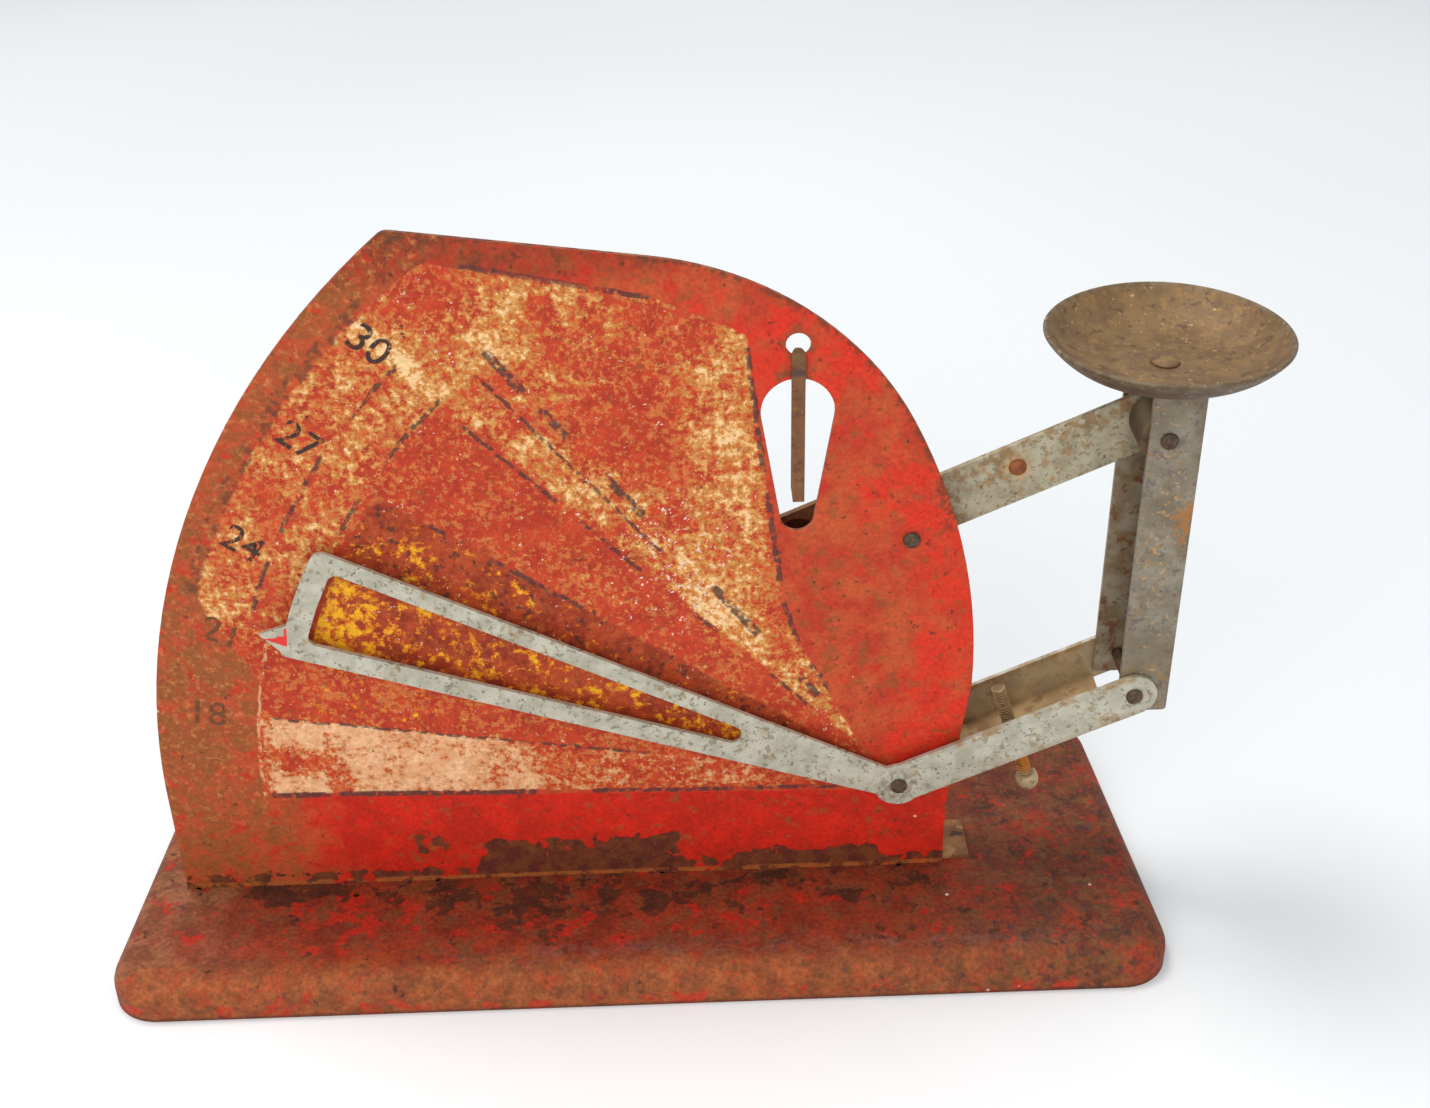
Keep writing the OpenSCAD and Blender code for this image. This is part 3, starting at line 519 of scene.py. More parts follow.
dust = dial.patches(0.9, 0.26, 38, 4.0, 0.06, (dial.cloud(6, 39) - 0.5) * 0.3) * (1 - dark_wedge * 0.75)
dialled = (dust * (0.5 - flaked.ramp(0.42, 0.47) * 0.4)).mix(dialled, rgb(216, 140, 74))
black_flecks = dial.patches(1.4, 0.03, 19, 5.0, 0.03, dark_wedge * sector(26, 36) * 0.09)
dialled = (black_flecks * 0.8).mix(dialled, rgb(74, 44, 36))
white_share = dial.blot(-36, 44, 14, 20) * 0.06 + sector(46, 53) * 0.03
white_flecks = dial.patches(0.8, 0.02, 20, 3.0, 0.02, white_share) * sector(-1, 90)
dialled = (white_flecks * 0.8).mix(dialled, rgb(244, 216, 196))

# The printed black lines, worn through in places
lines = radial(52, 1.4, (94, 103.5), (85, 91), (67, 76), (38, 50), (22, 27))
lines = lines | radial(45.6, 0.7, (78, 97), (60, 74), (43, 48), (21, 31))
lines = lines | radial(50, 0.6, (60, 100)) | radial(35, 0.8, (62, 80), (88, 91)) | radial(8.9, 0.6, (42, 105))
lines = lines | ring(110.4, 0.8, (20, 25), (28, 36), (40, 46.3)) | ring(102.2, 0.8, (38.5, 46.3), (30, 34))
for start, end in (((-47, 91), (-39, 89.3)), ((-25, 81), (-22.6, 60)), ((-22, 56), (-20, 40)),
                   ((-19.4, 36), (-17, 28)), ((-15, 24), (-11.5, 18)),
                   ((-52, -1.1), (-28, -1.6)), ((-26, -1.5), (-10, -1.9))):
    lines = lines | stroke(start, end, 0.9)
lines = lines * dial.patches(1.2, 0.64, 21, 6.0, 0.07) * face
bold_lines = stroke((-106, 0.2), (-96.2, 0), 1.1) | stroke((-94.8, 0), (-61.5, -0.9), 1.1)
bold_lines = bold_lines | stroke((-66, 95), (-48, 91.2), 0.9) * 0.7
lines = lines | bold_lines * dial.patches(1.2, 0.8, 41, 6.0, 0.07) * face
colour = (lines * 0.82).mix(printed.mix(ground, dialled), rgb(66, 48, 48))
speckled = far_left * (1 - printed) * dial.patches(1.2, 0.2, 22, 7.0, 0.08, rough=0.72) * dial.z.ramp(-16, 4) * face
colour = (speckled * 0.5).mix(colour, rgb(212, 142, 80))
pale_line = ring(107.2, 0.5, (0, 17)) * dial.patches(1.5, 0.6, 23) * face
colour = (pale_line * 0.6).mix(colour, rgb(226, 180, 130))
edge_dark = ring(120.3, 2.2, (20, 48)) * dial.patches(2.4, 0.4, 24, 6.0, 0.04) * face
colour = (edge_dark * 0.7).mix(colour, rgb(96, 58, 38))

# Rust on the face: along the plate's foot, round the holes, and inside the curved edge
foot_share = dial.x.within(-72, -37, 2) * z.ramp(-9.0, -13.0)
foot_share = foot_share + dial.x.within(-28, -2.5, 2) * z.ramp(-13.5, -16.5) * 0.9
foot_share = foot_share + dial.blot(-80, -11.5, 5, 4) * 0.7 + z.ramp(-15.6, -17.8) * 0.72
foot = dial.patches(3.6, 0.008, 25, 6.0, 0.02, foot_share * 0.36)
foot_colour = dial.mottled(rgb(104, 60, 30), rgb(72, 38, 30), 0.12, 3, 26, 6.0, 0.65)
colour = (foot * 0.92).mix(colour, foot_colour)
foot_edge = dial.patches(3, 0.7, 27, 5.0, 0.06) * dial.z.ramp(-18.6, -19.1)
colour = (foot_edge * 0.8).mix(colour, rgb(172, 94, 42))
pitted = dial.patches(1.3, 0.02, 28, 4.0, 0.03, dial.blot(-4, 40, 18, 46) * 0.03)
colour = (pitted * (1 - printed) * 0.8).mix(colour, rgb(82, 46, 34))
colour = (dial.specks(6, 0.3, 0.1, 29) * 0.7).mix(colour, rgb(236, 196, 168))
holes = dial.blot(-17.4, 81.1, 3.6, 4.6) | dial.blot(-17.4, 75, 5, 5)
holes_rust = dial.patches(1.8, 0.1, 30, 5.0, 0.04, holes * 0.12) * holes * face
colour = (holes_rust * 0.8).mix(colour, rgb(120, 76, 44))
crown_x, crown_z = dial.x + 46, dial.z - 43.7
crown = (crown_x * crown_x + crown_z * crown_z).ramp(50.6 ** 2, 52.2 ** 2)
crown = crown * dial.x.ramp(-46, -40) * dial.z.ramp(44, 52)
worn_edge = crown | dial.z.ramp(97.4, 99) * dial.x.ramp(-40, -60)
worn_rust = dial.patches(1.6, 0.12, 37, 6.0, 0.05, worn_edge * 0.14) * worn_edge
colour = (worn_rust * 0.75).mix(colour, rgb(96, 56, 36))

# The plate's back, plain red and rusty, and its cut edge
rear = (1 - face) * dial.y.ramp(0.75, 0.88)
rear_colour = dial.patches(8, 0.4, 31, 6.0, 0.1).mix(rgb(168, 46, 30), rgb(136, 66, 38))
rear_colour = (dial.patches(3, 0.2, 40, 6.0, 0.05) * 0.6).mix(rear_colour, rgb(188, 62, 38))
rear_colour = (dial.patches(2.2, 0.07, 32, 6.0, 0.03) * 0.8).mix(rear_colour, rgb(78, 44, 34))
colour = rear.mix(colour, rear_colour)
rim = dial.y.within(0.2, 0.72, 0.08)
colour = (rim * 0.85).mix(colour, dial.mottled(rgb(84, 50, 36), rgb(146, 104, 72), 0.1, 2, 33, 5.0))
grit = dial.cloud(0.7, 34, 5.0, 0.7)
relief = grit * 0.5 + printed * flaked.ramp(0.485, 0.525) * 0.4 - foot * 0.6 + dial.cloud(30, 35, 1.0) * 2.0
dial_roughness = 0.5 + 0.2 * dial.cloud(5, 36) + foot * 0.2
dial_finish = dial.finish(grit.shading(colour, 0.16), dial_roughness, relief, 0.07, shine=0.22)
softened("dial_plate", "dial_sheet", "frame", dial_finish, 0.14)

# The dial's weight marks: plain numbers, printed in black along the lines to the pin
ink = Finish("dial_number_ink")
ink.finish(ink.z.ramp(52, 34).mix(rgb(64, 46, 44), rgb(112, 70, 44)), 0.6, shine=0.22)
left_over = ink.patches(1.1, 0.68, 1, 6.0, 0.08)
ink.tree.links.new(left_over.socket, ink.tree.nodes["Principled BSDF"].inputs["Alpha"])
for number, number_x, number_z, lean in (("30", -80.3, 83.0, -43), ("27", -92.6, 67.6, -40),
                                         ("24", -103.6, 49.9, -37), ("21", -109.4, 33.4, -24),
                                         ("18", -114.2, 17.6, -10)):
    pick()
    bpy.ops.object.text_add()
    mark = bpy.context.object
    mark.name = "dial_number_" + number
    mark.data.body = number
    mark.data.size = 0.0066
    mark.data.align_x = "CENTER"
    mark.data.align_y = "CENTER"
    mark.data.resolution_u = 6
    mark.data.offset = 0.00004
    bpy.ops.object.convert(target="MESH")
    upright, leaning = Matrix.Rotation(radians(90), 4, "X"), Matrix.Rotation(radians(-lean), 4, "Y")
    mark.matrix_world = Matrix.Translation(from_pin(number_x, -0.03, number_z)) @ leaning @ upright
    bpy.ops.object.transform_apply(location=True, rotation=True, scale=True)
    mark.data.materials.append(ink.material)
    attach(mark, "frame")


# Rear bracket: a folded strip behind the dial that holds the far ends of its two
# pins. It is steel, stained tan with rust, and two rivets hold its foot to the
# base. The rivets are painted with the base.
strap = Finish("bracket_paint_rusted")
strap_colour = strap.mottled(rgb(150, 104, 64), rgb(118, 78, 50), 0.1, 7, 1, 5.0)
strap_colour = (strap.patches(4, 0.3, 2, 6.0) * 0.8).mix(strap_colour, rgb(166, 124, 80))
strap_colour = (strap.patches(3, 0.12, 3, 5.0) * 0.9).mix(strap_colour, rgb(66, 44, 40))
strap_finish = strap.finish(strap_colour, 0.6 + 0.2 * strap.cloud(3, 4), strap.cloud(1.5, 5, 5.0), 0.1, shine=0.25)
softened("rear_bracket", "rear_bracket_strip", "frame", strap_finish, 0.18)
softened("bracket_rivets", "bracket_rivet_heads", "frame", base_finish, 0.12)


# Pins: steel wire with a head at the front, spread at the back to hold it. They
# are dark with age. The beam turns on the lower one and the link on the upper.
pin = Finish("pin_steel_darkened")
pin_colour = pin.mottled(rgb(70, 52, 36), rgb(98, 76, 54), 0.15, 0.9, 1)
pin_colour = (pin.patches(0.7, 0.12, 2, 3.0) * 0.8).mix(pin_colour, rgb(50, 36, 28))
pin_finish = pin.finish(pin_colour, 0.5 + 0.2 * pin.cloud(1, 3), pin.cloud(0.5, 4), 0.04, 0.3)
softened("beam_pin", "beam_pivot_pin", "frame", pin_finish, 0.1)
softened("link_pin", "link_pivot_pin", "frame", pin_finish, 0.1)


# Spacers and washers: cut from thin steel tube and sheet, and slid on the pins
# between the dial, the moving arms and the bracket. They are plated and dull.
def old_steel(name, seed, grey, tan, pale=None, turn=0.0, stain=0.2, spots=0.5):
    """Dull plated steel in two greys, with tan stains and dark specks."""
    steel = Finish(name, turn=turn)
    pale = pale or tuple(v * 1.18 for v in grey[:3]) + (1.0,)
    ground = steel.mottled(grey, pale, 0.15, 4, seed, 6.0, 0.65)
    clusters = (steel.cloud(7, seed + 1, 3.0) - 0.5) * 0.6
    stains = steel.patches(1.3, stain, seed + 2, 6.0, 0.04, clusters)
    ground = (stains * 0.75).mix(ground, tan)
    grey_spots = steel.patches(1.1, spots * 0.16, seed + 3, 3.0, 0.03, clusters * 0.3)
    ground = (grey_spots * 0.6).mix(ground, rgb(112, 100, 82))
    dark_spots = steel.patches(0.9, spots * 0.06, seed + 4, 3.0, 0.02)
    steel.ground = (dark_spots * 0.75).mix(ground, rgb(86, 68, 54))
    steel.rough = 0.45 + 0.2 * steel.cloud(2.5, seed + 5)
    steel.relief = steel.cloud(1.0, seed + 6, 5.0)
    return steel


def dull(steel, colour):
    """Ends an old steel's finish, with its own roughness, relief and metal under the colour."""
    return steel.finish(colour, steel.rough, steel.relief, 0.05, 0.3)


washer = old_steel("washer_steel", 1, rgb(132, 124, 108), rgb(126, 92, 58))
washer_finish = dull(washer, washer.ground)
softened("beam_spacer", "beam_pin_tube", "frame", washer_finish, 0.12)
softened("beam_washers", "beam_pin_washers", "frame", washer_finish, 0.1)
softened("link_spacer", "link_pin_tube", "frame", washer_finish, 0.12)
softened("link_washer", "link_pin_washer", "frame", washer_finish, 0.1)


# Pointer beam: one stamping in plated steel. Its left part is the flat pointer
# with a long window and a red mark at its tip, its right part a folded channel
# that carries the post. It is grey outside and stained tan inside the channel.
beam_turn = 24
beam = old_steel("beam_steel", 7, rgb(170, 166, 147), rgb(162, 138, 100), rgb(197, 193, 176), beam_turn, 0.09, 0.9)
inside = beam.y.ramp(-1.85, -1.7) * beam.y.ramp(11.1, 10.95)
tan = beam.mottled(rgb(188, 158, 112), rgb(158, 130, 90), 0.15, 5, 20, 5.0)
tan = (beam.patches(4, 0.16, 21, 6.0) * 0.6).mix(tan, rgb(124, 86, 50))
beam_colour = inside.mix(beam.ground, tan)
crease = beam.z.within(2.9, 3.9, 0.3) * beam.x.ramp(6, 12) * beam.cloud(2, 22).ramp(0.4, 0.6)
beam_colour = (crease * 0.8).mix(beam_colour, rgb(160, 120, 70))
beam_colour = (beam.z.ramp(-2.2, -3.9) * beam.x.ramp(4, 8) * 0.35).mix(beam_colour, rgb(150, 122, 100))
around_pin = (beam.x * beam.x + beam.z * beam.z).ramp(16, 4)
beam_colour = (around_pin * beam.patches(1.5, 0.5, 23) * 0.6).mix(beam_colour, rgb(126, 104, 80))
tip_x, tip_z, tip_cos, tip_sin = 79.5, 72.3, 0.857, 0.514
from_tip = (beam.x + tip_x) * tip_cos - (beam.z - tip_z) * tip_sin
beside_tip = (beam.x + tip_x) * tip_sin + (beam.z - tip_z) * tip_cos
wedge = (from_tip * 0.3 - abs(beside_tip) + (beam.cloud(0.8, 24) - 0.5) * 0.8).ramp(-0.08, 0.08)
wedge = wedge * from_tip.ramp(3.55, 3.4)
tick = from_tip.within(3.0, 3.4, 0.08) * beside_tip.within(0.4, 2.4, 0.15)
beam_colour = ((wedge | tick) * beam.y.ramp(-2.3, -2.5)).mix(beam_colour, rgb(222, 50, 44))
softened("pointer_beam", "pointer_and_beam", "beam", dull(beam, beam_colour), 0.18)
softened("post_lower_pin", "post_foot_pin", "beam", pin_finish, 0.1)


# Adjusting screw: a steel screw with a round slotted head, turned up through the
# beam's web. Its thread is worn and rusty, brightest just below the beam.
def drawn(name, points):
    """A new piece that begins as a line drawn from point to point, in millimetres."""
    points = [Vector((x / 1000, y / 1000, z / 1000)) for x, y, z in points]
    pick()
    bpy.ops.mesh.primitive_plane_add(size=0.001)
    piece = bpy.context.object
    piece.name = name
    bpy.ops.object.mode_set(mode="EDIT")
    bpy.ops.mesh.select_mode(type="VERT")
    bpy.ops.mesh.select_all(action="SELECT")
    bpy.ops.mesh.merge(type="CENTER")
    bpy.ops.transform.translate(value=points[0])
    for start, end in zip(points, points[1:]):
        bpy.ops.mesh.extrude_vertices_move(TRANSFORM_OT_translate={"value": end - start})
    bpy.ops.object.mode_set(mode="OBJECT")
    return piece


def spun(piece, steps):
    """Turns a drawn line about the upright axis into a closed shell."""
    with editing(piece, "EDGE"):
        bpy.ops.mesh.spin(steps=steps, angle=2 * pi, center=(0, 0, 0), axis=(0, 0, 1))
        bpy.ops.mesh.select_all(action="SELECT")
        bpy.ops.mesh.remove_doubles(threshold=0.000002)
        bpy.ops.mesh.normals_make_consistent(inside=False)


beam_depth, screw_along, screw_drop, screw_lean = 6.6, 0.0205, 0.0034, 6
at_screw = (Matrix.Translation(from_pin(0, beam_depth, 0)) @ Matrix.Rotation(radians(-beam_turn), 4, "Y")
            @ Matrix.Translation((screw_along, 0, -screw_drop)) @ Matrix.Rotation(radians(screw_lean), 4, "Y")
            @ Matrix.Translation((0, 0, screw_drop)))
pitch, root, crest, thread_foot = 0.56, 0.84, 1.18, -14.9
thread = drawn("screw_thread", [(radius, 0, thread_foot + pitch * rise) for radius, rise in (
    (root, 0), (root, 0.2), (crest, 0.5), (crest, 0.66), (root, 0.96), (root, 1))])
modified(thread, "SCREW", angle=2 * pi, screw_offset=pitch / 1000, iterations=34, steps=28, render_steps=28,
         use_merge_vertices=True, merge_threshold=0.000003)
with editing(thread, "FACE"):
    bpy.ops.mesh.remove_doubles(threshold=0.000002)
    bpy.ops.mesh.fill_holes(sides=0)
    bpy.ops.mesh.normals_make_consistent(inside=False)
screw = drawn("turned_screw", [(radius, 0, height) for radius, height in (
    (0, 4.9), (0.9, 4.9), (1.16, 4.7), (1.16, 4.3), (0.86, 4.0), (0.86, -14.6), (1.6, -14.7), (1.9, -15.1),
    (1.96, -15.7), (1.92, -16.4), (1.7, -17.1), (1.3, -17.6), (0.7, -17.9), (0, -18.0))])
spun(screw, 40)
driver_slot_z, driver_slot_size = -0.0178, (0.006, 0.0006, 0.0016)
pick()
bpy.ops.mesh.primitive_cube_add(size=1, location=(0, 0, driver_slot_z), scale=driver_slot_size)
cut(screw, bpy.context.object)
pick(thread, screw)
bpy.ops.object.join()
screw.data.transform(at_screw)
screw_look = Finish("screw_steel_rusty", centre=tuple(at_screw.translation), turn=beam_turn - screw_lean)
screw_colour = screw_look.mottled(rgb(160, 126, 88), rgb(186, 156, 114), 0.15, 2, 1, 5.0)
orange = screw_look.z.within(-13.8, -8.0, 1.0) * screw_look.cloud(1.5, 2).ramp(0.25, 0.5)
screw_colour = orange.mix(screw_colour, rgb(222, 142, 48))
from_axis = screw_look.x * screw_look.x + screw_look.y * screw_look.y
grooves = from_axis.ramp(1.2, 0.8) * screw_look.z.ramp(-15, -14.6)
screw_colour = (grooves * 0.7).mix(screw_colour, rgb(96, 64, 40))
screw_colour = (screw_look.z.ramp(-14.2, -15.2) * 0.8).mix(screw_colour, rgb(186, 166, 130))
screw_colour = (screw_look.patches(1.4, 0.15, 3, 5.0) * 0.7).mix(screw_colour, rgb(112, 82, 58))
screw_roughness = 0.5 + 0.2 * screw_look.cloud(1, 4)
screw_finish = screw_look.finish(screw_colour, screw_roughness, screw_look.cloud(0.6, 5), 0.04, 0.2)
placed(screw, "screw", screw_finish, "adjusting_screw", smooth=40)


# Upper link: a flat steel bar with round ends that keeps the post upright. It is
# dull grey, with rust and tan stains along its upper edge.
link_pin_right, link_pin_up = 0.7, 47


def from_link_pin(steel):
    """The places along and across the link, in millimetres from the link's pin."""
    along = steel.x - link_pin_up * sin(radians(beam_turn)) - link_pin_right * cos(radians(beam_turn))
    across = steel.z - link_pin_up * cos(radians(beam_turn)) + link_pin_right * sin(radians(beam_turn))
    return along, across


link = old_steel("link_steel", 30, rgb(152, 142, 114), rgb(156, 120, 74), rgb(180, 171, 146), beam_turn, 0.16, 1.0)
link_x, link_z = from_link_pin(link)
edge_share = link_z.ramp(0.5, 4.6) * 0.13 + link_x.ramp(14, 4) * 0.1 + link_x.ramp(30, 40) * 0.06
worn_edge = link.patches(2.2, 0.06, 40, 6.0, 0.04, edge_share)
edge_colour = link.mottled(rgb(150, 112, 68), rgb(132, 104, 68), 0.1, 2, 43)
link_colour = (worn_edge * 0.8).mix(link.ground, edge_colour)
rivet_x, rivet_z = link_x - 19.3, link_z - 1
rivet_ring = (rivet_x * rivet_x + rivet_z * rivet_z).ramp(9, 2.5) * link.cloud(1.0, 41, 5.0).ramp(0.35, 0.6)
link_colour = (rivet_ring * 0.8).mix(link_colour, rgb(204, 162, 112))
edge_rust = link.patches(1.6, 0.04, 42, 5.0, 0.02, link_z.ramp(2, 4.6) * 0.04)
link_colour = (edge_rust * 0.85).mix(link_colour, rgb(140, 82, 42))
softened("upper_link", "upper_link_bar", "link", dull(link, link_colour), 0.2)


# Counterweight's arm: a stamping behind the dial, riveted to the link, in steel
# that is browner than the link. A rusty rivet joins the two. The shallow dish
# that shows through the level window is painted nearly black, as painted shade
# for the shadow inside it.
arm = old_steel("weight_arm_steel", 50, rgb(176, 144, 100), rgb(136, 94, 56), rgb(196, 166, 120), beam_turn, 0.3)
arm_x, arm_z = from_link_pin(arm)
dish_x, dish_z = arm_x + 17.2, arm_z - 4
from_dish = dish_x * dish_x + dish_z * dish_z
front = arm.y.ramp(8.85, 8.55)
arm_rust = arm.mottled(rgb(92, 54, 24), rgb(124, 76, 36), 0.1, 1.5, 58, 5.0)
arm_colour = (from_dish.ramp(8.5 ** 2, 6.5 ** 2) * front * 0.85).mix(arm.ground, arm_rust)
# Painted shade: the dish is painted nearly black for the shadow that lies in it
dish_painted_shade = arm.mottled(rgb(58, 30, 18), rgb(74, 44, 24), 0.1, 1.2, 57, 5.0)
arm_colour = (from_dish.ramp(3.35 ** 2, 3.0 ** 2) * front * 0.92).mix(arm_colour, dish_painted_shade)
softened("weight_arm", "counterweight_arm", "link", dull(arm, arm_colour), 0.2)
rivet = Finish("rivet_rust")
rivet_colour = rivet.mottled(rgb(112, 60, 28), rgb(146, 82, 38), 0.15, 1.0, 1)
rivet_finish = rivet.finish(rivet_colour, 0.7, rivet.cloud(0.6, 2), 0.06)
softened("arm_rivet", "arm_rivet_rusty", "link", rivet_finish, 0.1)


# Counterweight: a round slug of cast iron behind the dial, with softened rims and
# a rough skin. A rivet through its middle holds it to its arm.
slug = Finish("cast_iron")
slug_colour = slug.mottled(rgb(70, 64, 60), rgb(96, 86, 78), 0.15, 3, 1, 6.0, 0.65)
slug_colour = (slug.patches(5, 0.2, 2, 6.0) * 0.8).mix(slug_colour, rgb(116, 70, 46))
slug_finish = slug.finish(slug_colour, 0.62 + 0.2 * slug.cloud(2, 3), slug.cloud(0.9, 4, 6.0, 0.7), 0.25, 0.3)
softened("counterweight", "cast_counterweight", "link", slug_finish, 0.9)
softened("counterweight_rivet", "counterweight_rivet_steel", "link", pin_finish, 0.15)


# Post: an upright channel, folded from one strip and open towards the dial, with
# a tab on top. Its front is grey with purplish specks and a rusty right edge.
beam_arm = 42
post_x, post_z = beam_arm * cos(radians(beam_turn)), beam_arm * sin(radians(beam_turn))
post = old_steel("post_steel", 60, rgb(124, 114, 96), rgb(152, 120, 78), rgb(148, 140, 122), 0, 0.16, 0.9)
post_mid = post.x - (post_x + 1.8)
post_colour = (post.cloud(9, 75, 4.0).ramp(0.45, 0.6) * 0.5).mix(post.ground, rgb(112, 98, 74))
post_colour = (post.patches(1.5, 0.16, 70, 5.0, 0.04) * 0.6).mix(post_colour, rgb(98, 84, 88))
peach = abs(post_mid).ramp(3, 0) * 0.07 * post.z.within(post_z + 16, post_z + 40, 5)
post_colour = (post.patches(1.1, 0.08, 71, 5.0, 0.03, peach) * 0.65).mix(post_colour, rgb(198, 154, 104))
rusty_edge = post_mid.ramp(-1.5, 3.0) * post.z.within(post_z + 28, post_z + 37, 4)
post_colour = (post.patches(2.2, 0.03, 72, 6.0, 0.05, rusty_edge * 0.2) * 0.85).mix(post_colour, rgb(170, 108, 46))
inner_colour = post.mottled(rgb(156, 144, 122), rgb(128, 104, 74), 0.15, 3, 73, 6.0, 0.65)
inner_colour = (post.patches(1.8, 0.2, 74, 6.0, 0.03) * 0.85).mix(inner_colour, rgb(122, 72, 40))
post_colour = post.y.ramp(-0.75, -0.6).mix(post_colour, inner_colour)


web_x, front_flange_y, rear_flange_y = 5.95, -1.55, 10.75


def post_bends(ends):
    """The post's two outer folds, at its right side."""
    places = [(p - from_pin(post_x, 0, 0)) * 1000 for p in ends]
    outer = all(p.x > web_x and (p.y < front_flange_y or p.y > rear_flange_y) for p in places)
    return outer and abs(places[0].z - places[1].z) > 1


softened("post_channel", "post_folded", "post", dull(post, post_colour), 0.18, post_bends, 0.7)
softened("post_upper_pin", "post_head_pin", "post", pin_finish, 0.1)
softened("post_washer", "post_pin_washer", "post", washer_finish, 0.1)


# Bushing: a thick turned collar on the post's upper pin, in front of the link. It
# is dark brown, its own rust and partly painted shade, with a painted highlight in olive on top.
collar = Finish("bushing_steel_brown")
collar_colour = collar.mottled(rgb(64, 46, 34), rgb(96, 72, 46), 0.15, 3, 1, 5.0)
# Painted highlight: the top of the collar is painted olive where light falls on it from above
collar_colour = (collar.z.ramp(post_z + 47, post_z + 51) * 0.75).mix(collar_colour, rgb(136, 116, 76))
collar_finish = collar.finish(collar_colour, 0.5 + 0.2 * collar.cloud(2, 2), collar.cloud(1, 3), 0.05, 0.3)
softened("post_bushing", "post_collar", "post", collar_finish, 0.45)


# Pan: a round dish pressed from thin sheet steel, riveted to the post's tab. Its
# rim is dressed round and waves slightly. It is brown inside, greenish grey on
# the rim and dark underneath.
pan_place = from_pin(38.799, 4.6, 73.583)
pan_sheet, pan_radius, pan_flat, pan_slope = 0.7, 18.9, 8.0, radians(56)
rivet_hole, rim_round, pan_wave = 1.0, 0.33, 0.00012
pan_arc = (pan_radius - pan_flat) / sin(pan_slope)
inner = [(rivet_hole, pan_sheet), (5.0, pan_sheet)]
outer = [(rivet_hole, 0.0), (5.0, 0.0)]
for step in range(16):
    bend = (pan_slope - 0.025) * step / 15
    inner.append((pan_flat + (pan_arc - pan_sheet) * sin(bend), pan_arc - (pan_arc - pan_sheet) * cos(bend)))
    outer.append((pan_flat + pan_arc * sin(bend), pan_arc - pan_arc * cos(bend)))
rim = []
for turn in (45, 90, 135):
    over, beyond = pan_sheet / 2 * (1 - cos(radians(turn))), rim_round * sin(radians(turn))
    rim.append((inner[-1][0] + over * sin(pan_slope) + beyond * cos(pan_slope),
                inner[-1][1] - over * cos(pan_slope) + beyond * sin(pan_slope)))
profile = inner + rim + outer[::-1] + [(rivet_hole, pan_sheet)]
pan = drawn("pressed_pan", [(radius, 0, height) for radius, height in profile])
spun(pan, 96)
for corner in pan.data.vertices:
    out = Vector((corner.co.x, corner.co.y, 0)).length
    around = corner.co.angle(Vector((1, 0, 0))) if out > 0.002 else 0
    corner.co.z -= pan_wave * (1 + sin(3 * around + 0.6)) * (out * 1000 / pan_radius) ** 3
pan.data.transform(Matrix.Translation(pan_place))
dish = Finish("pan_steel_brown", centre=tuple(pan_place))
out = (dish.x * dish.x + dish.y * dish.y).root()
dish_colour = dish.mottled(rgb(108, 82, 54), rgb(130, 102, 66), 0.15, 4, 1, 6.0, 0.65)
dish_colour = (dish.patches(1.8, 0.2, 2, 6.0, 0.05) * 0.6).mix(dish_colour, rgb(150, 112, 62))
dish_colour = (dish.patches(1.6, 0.14, 3, 6.0, 0.04) * 0.7).mix(dish_colour, rgb(82, 58, 42))
arc_centre, mid_radius_squared = 13.15, 160.0
beyond_flat = (out - pan_flat) | 0.0
sheet_middle = arc_centre - ((mid_radius_squared - beyond_flat * beyond_flat) | 1.0).root()
underside = (dish.z - sheet_middle).ramp(0.1, -0.1)
under_colour = dish.mottled(rgb(92, 72, 62), rgb(76, 56, 46), 0.1, 2, 8, 5.0)
dish_colour = (underside * 0.75).mix(dish_colour, under_colour)
rim_colour = dish.mottled(rgb(126, 112, 86), rgb(98, 80, 58), 0.1, 1.4, 4, 5.0)
dish_colour = (out.ramp(17.6, 18.2) * 0.6).mix(dish_colour, rim_colour)
dish_colour = (dish.patches(0.9, 0.05, 5, 4.0, 0.03) * 0.7).mix(dish_colour, rgb(190, 156, 110))
pan_finish = dish.finish(dish_colour, 0.45 + 0.25 * dish.cloud(3, 6), dish.cloud(0.9, 7, 5.0), 0.05, 0.35)
placed(pan, "post", pan_finish, "egg_pan")
softened("pan_rivet", "pan_rivet_head", "post", pan_finish, 0.12)
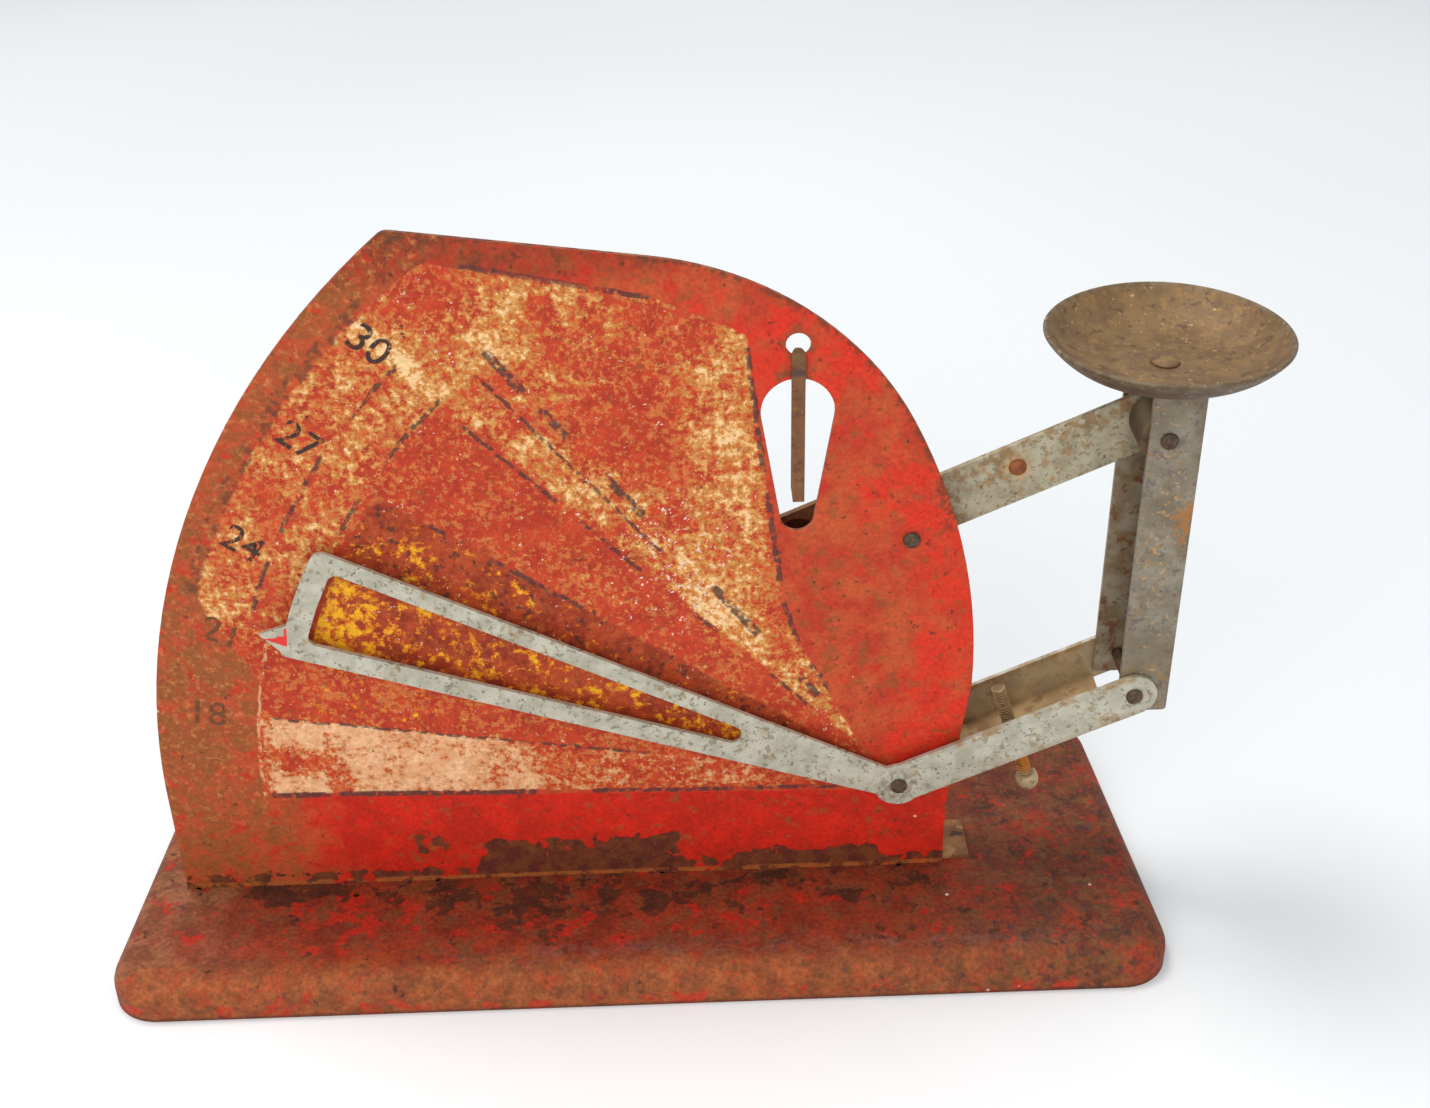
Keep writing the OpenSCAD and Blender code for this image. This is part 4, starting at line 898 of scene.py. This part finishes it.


# Level pendulum: a strip of steel hooked through the small hole, so that it hangs
# before the level window. It is rusty brown, with a round bend at the hole and a band of painted shade just below
# the bend.
strip_x, neck, half_width = -17.4, 79.546, 1.05
path = [(-0.65, neck - h) for h in (24.6, 22, 14, 7, 5, 4.2, 3.4, 2.6, 1.8, 1.2, 0.8)]
for step in range(21):
    bend = pi - pi * step / 20
    path.append((0.45 + 1.1 * cos(bend), neck - 0.5 + 1.0 * sin(bend)))
path += [(1.55, neck - 1.2), (1.55, neck - 2.6)]
strip = drawn("hooked_strip", [(-half_width, y, z) for y, z in path])
with editing(strip, "EDGE"):
    bpy.ops.mesh.extrude_region_move(TRANSFORM_OT_translate={"value": (half_width * 2 / 1000, 0, 0)})
# It is rounded over the top of its hook, swells just below, and is cut a little askew at its foot
slope_y, slope_z, hook_foot, hook_rise = 0.523, 0.852, -0.25, 1.13
for corner in strip.data.vertices:
    above_neck = corner.co.z * 1000 - neck
    over_hook = corner.co.y * 1000 * slope_y + above_neck * slope_z
    rise = min(1.0, max(0.0, (over_hook - hook_foot) / hook_rise))
    swell = max(0.0, 1 - abs(above_neck + 2.0) / 2.4)
    narrow = max(0.45, (1 - rise * rise) ** 0.5) * (1 + 0.1 * swell)
    corner.co.x *= min(narrow, 0.7 if corner.co.y > 0.0014 else 2.0)
    if above_neck < -24.5 and corner.co.x < 0:
        corner.co.x += 0.0003
modified(strip, "SOLIDIFY", thickness=0.0006, offset=0.0, use_even_offset=True)
modified(strip, "BEVEL", width=0.00012, segments=2, limit_method="ANGLE", angle_limit=radians(40))
strip.data.transform(Matrix.Translation(from_pin(strip_x, 0, 0)))
strip_look = Finish("strip_steel_brown")
strip_colour = strip_look.mottled(rgb(112, 68, 38), rgb(128, 84, 46), 0.15, 3, 1, 5.0)
strip_colour = (strip_look.patches(1.6, 0.2, 2, 5.0) * 0.7).mix(strip_colour, rgb(86, 50, 32))
strip_colour = (strip_look.patches(1.8, 0.15, 4, 5.0) * 0.7).mix(strip_colour, rgb(134, 96, 40))
# Painted shade: a dark band just below the bend, where the strip swells, stands in for the shade under its rolled
# loop
strip_colour = (strip_look.z.within(76.4, 77.6, 0.4) * 0.75).mix(strip_colour, rgb(66, 44, 44))
strip_colour = (strip_look.z.ramp(77.8, 78.8) * 0.6).mix(strip_colour, rgb(112, 82, 44))
strip_roughness = 0.55 + 0.2 * strip_look.cloud(2, 3)
strip_finish = strip_look.finish(strip_colour, strip_roughness, strip_look.cloud(0.9, 4), 0.07, 0.1)
placed(strip, "pendulum", strip_finish, "level_pendulum")
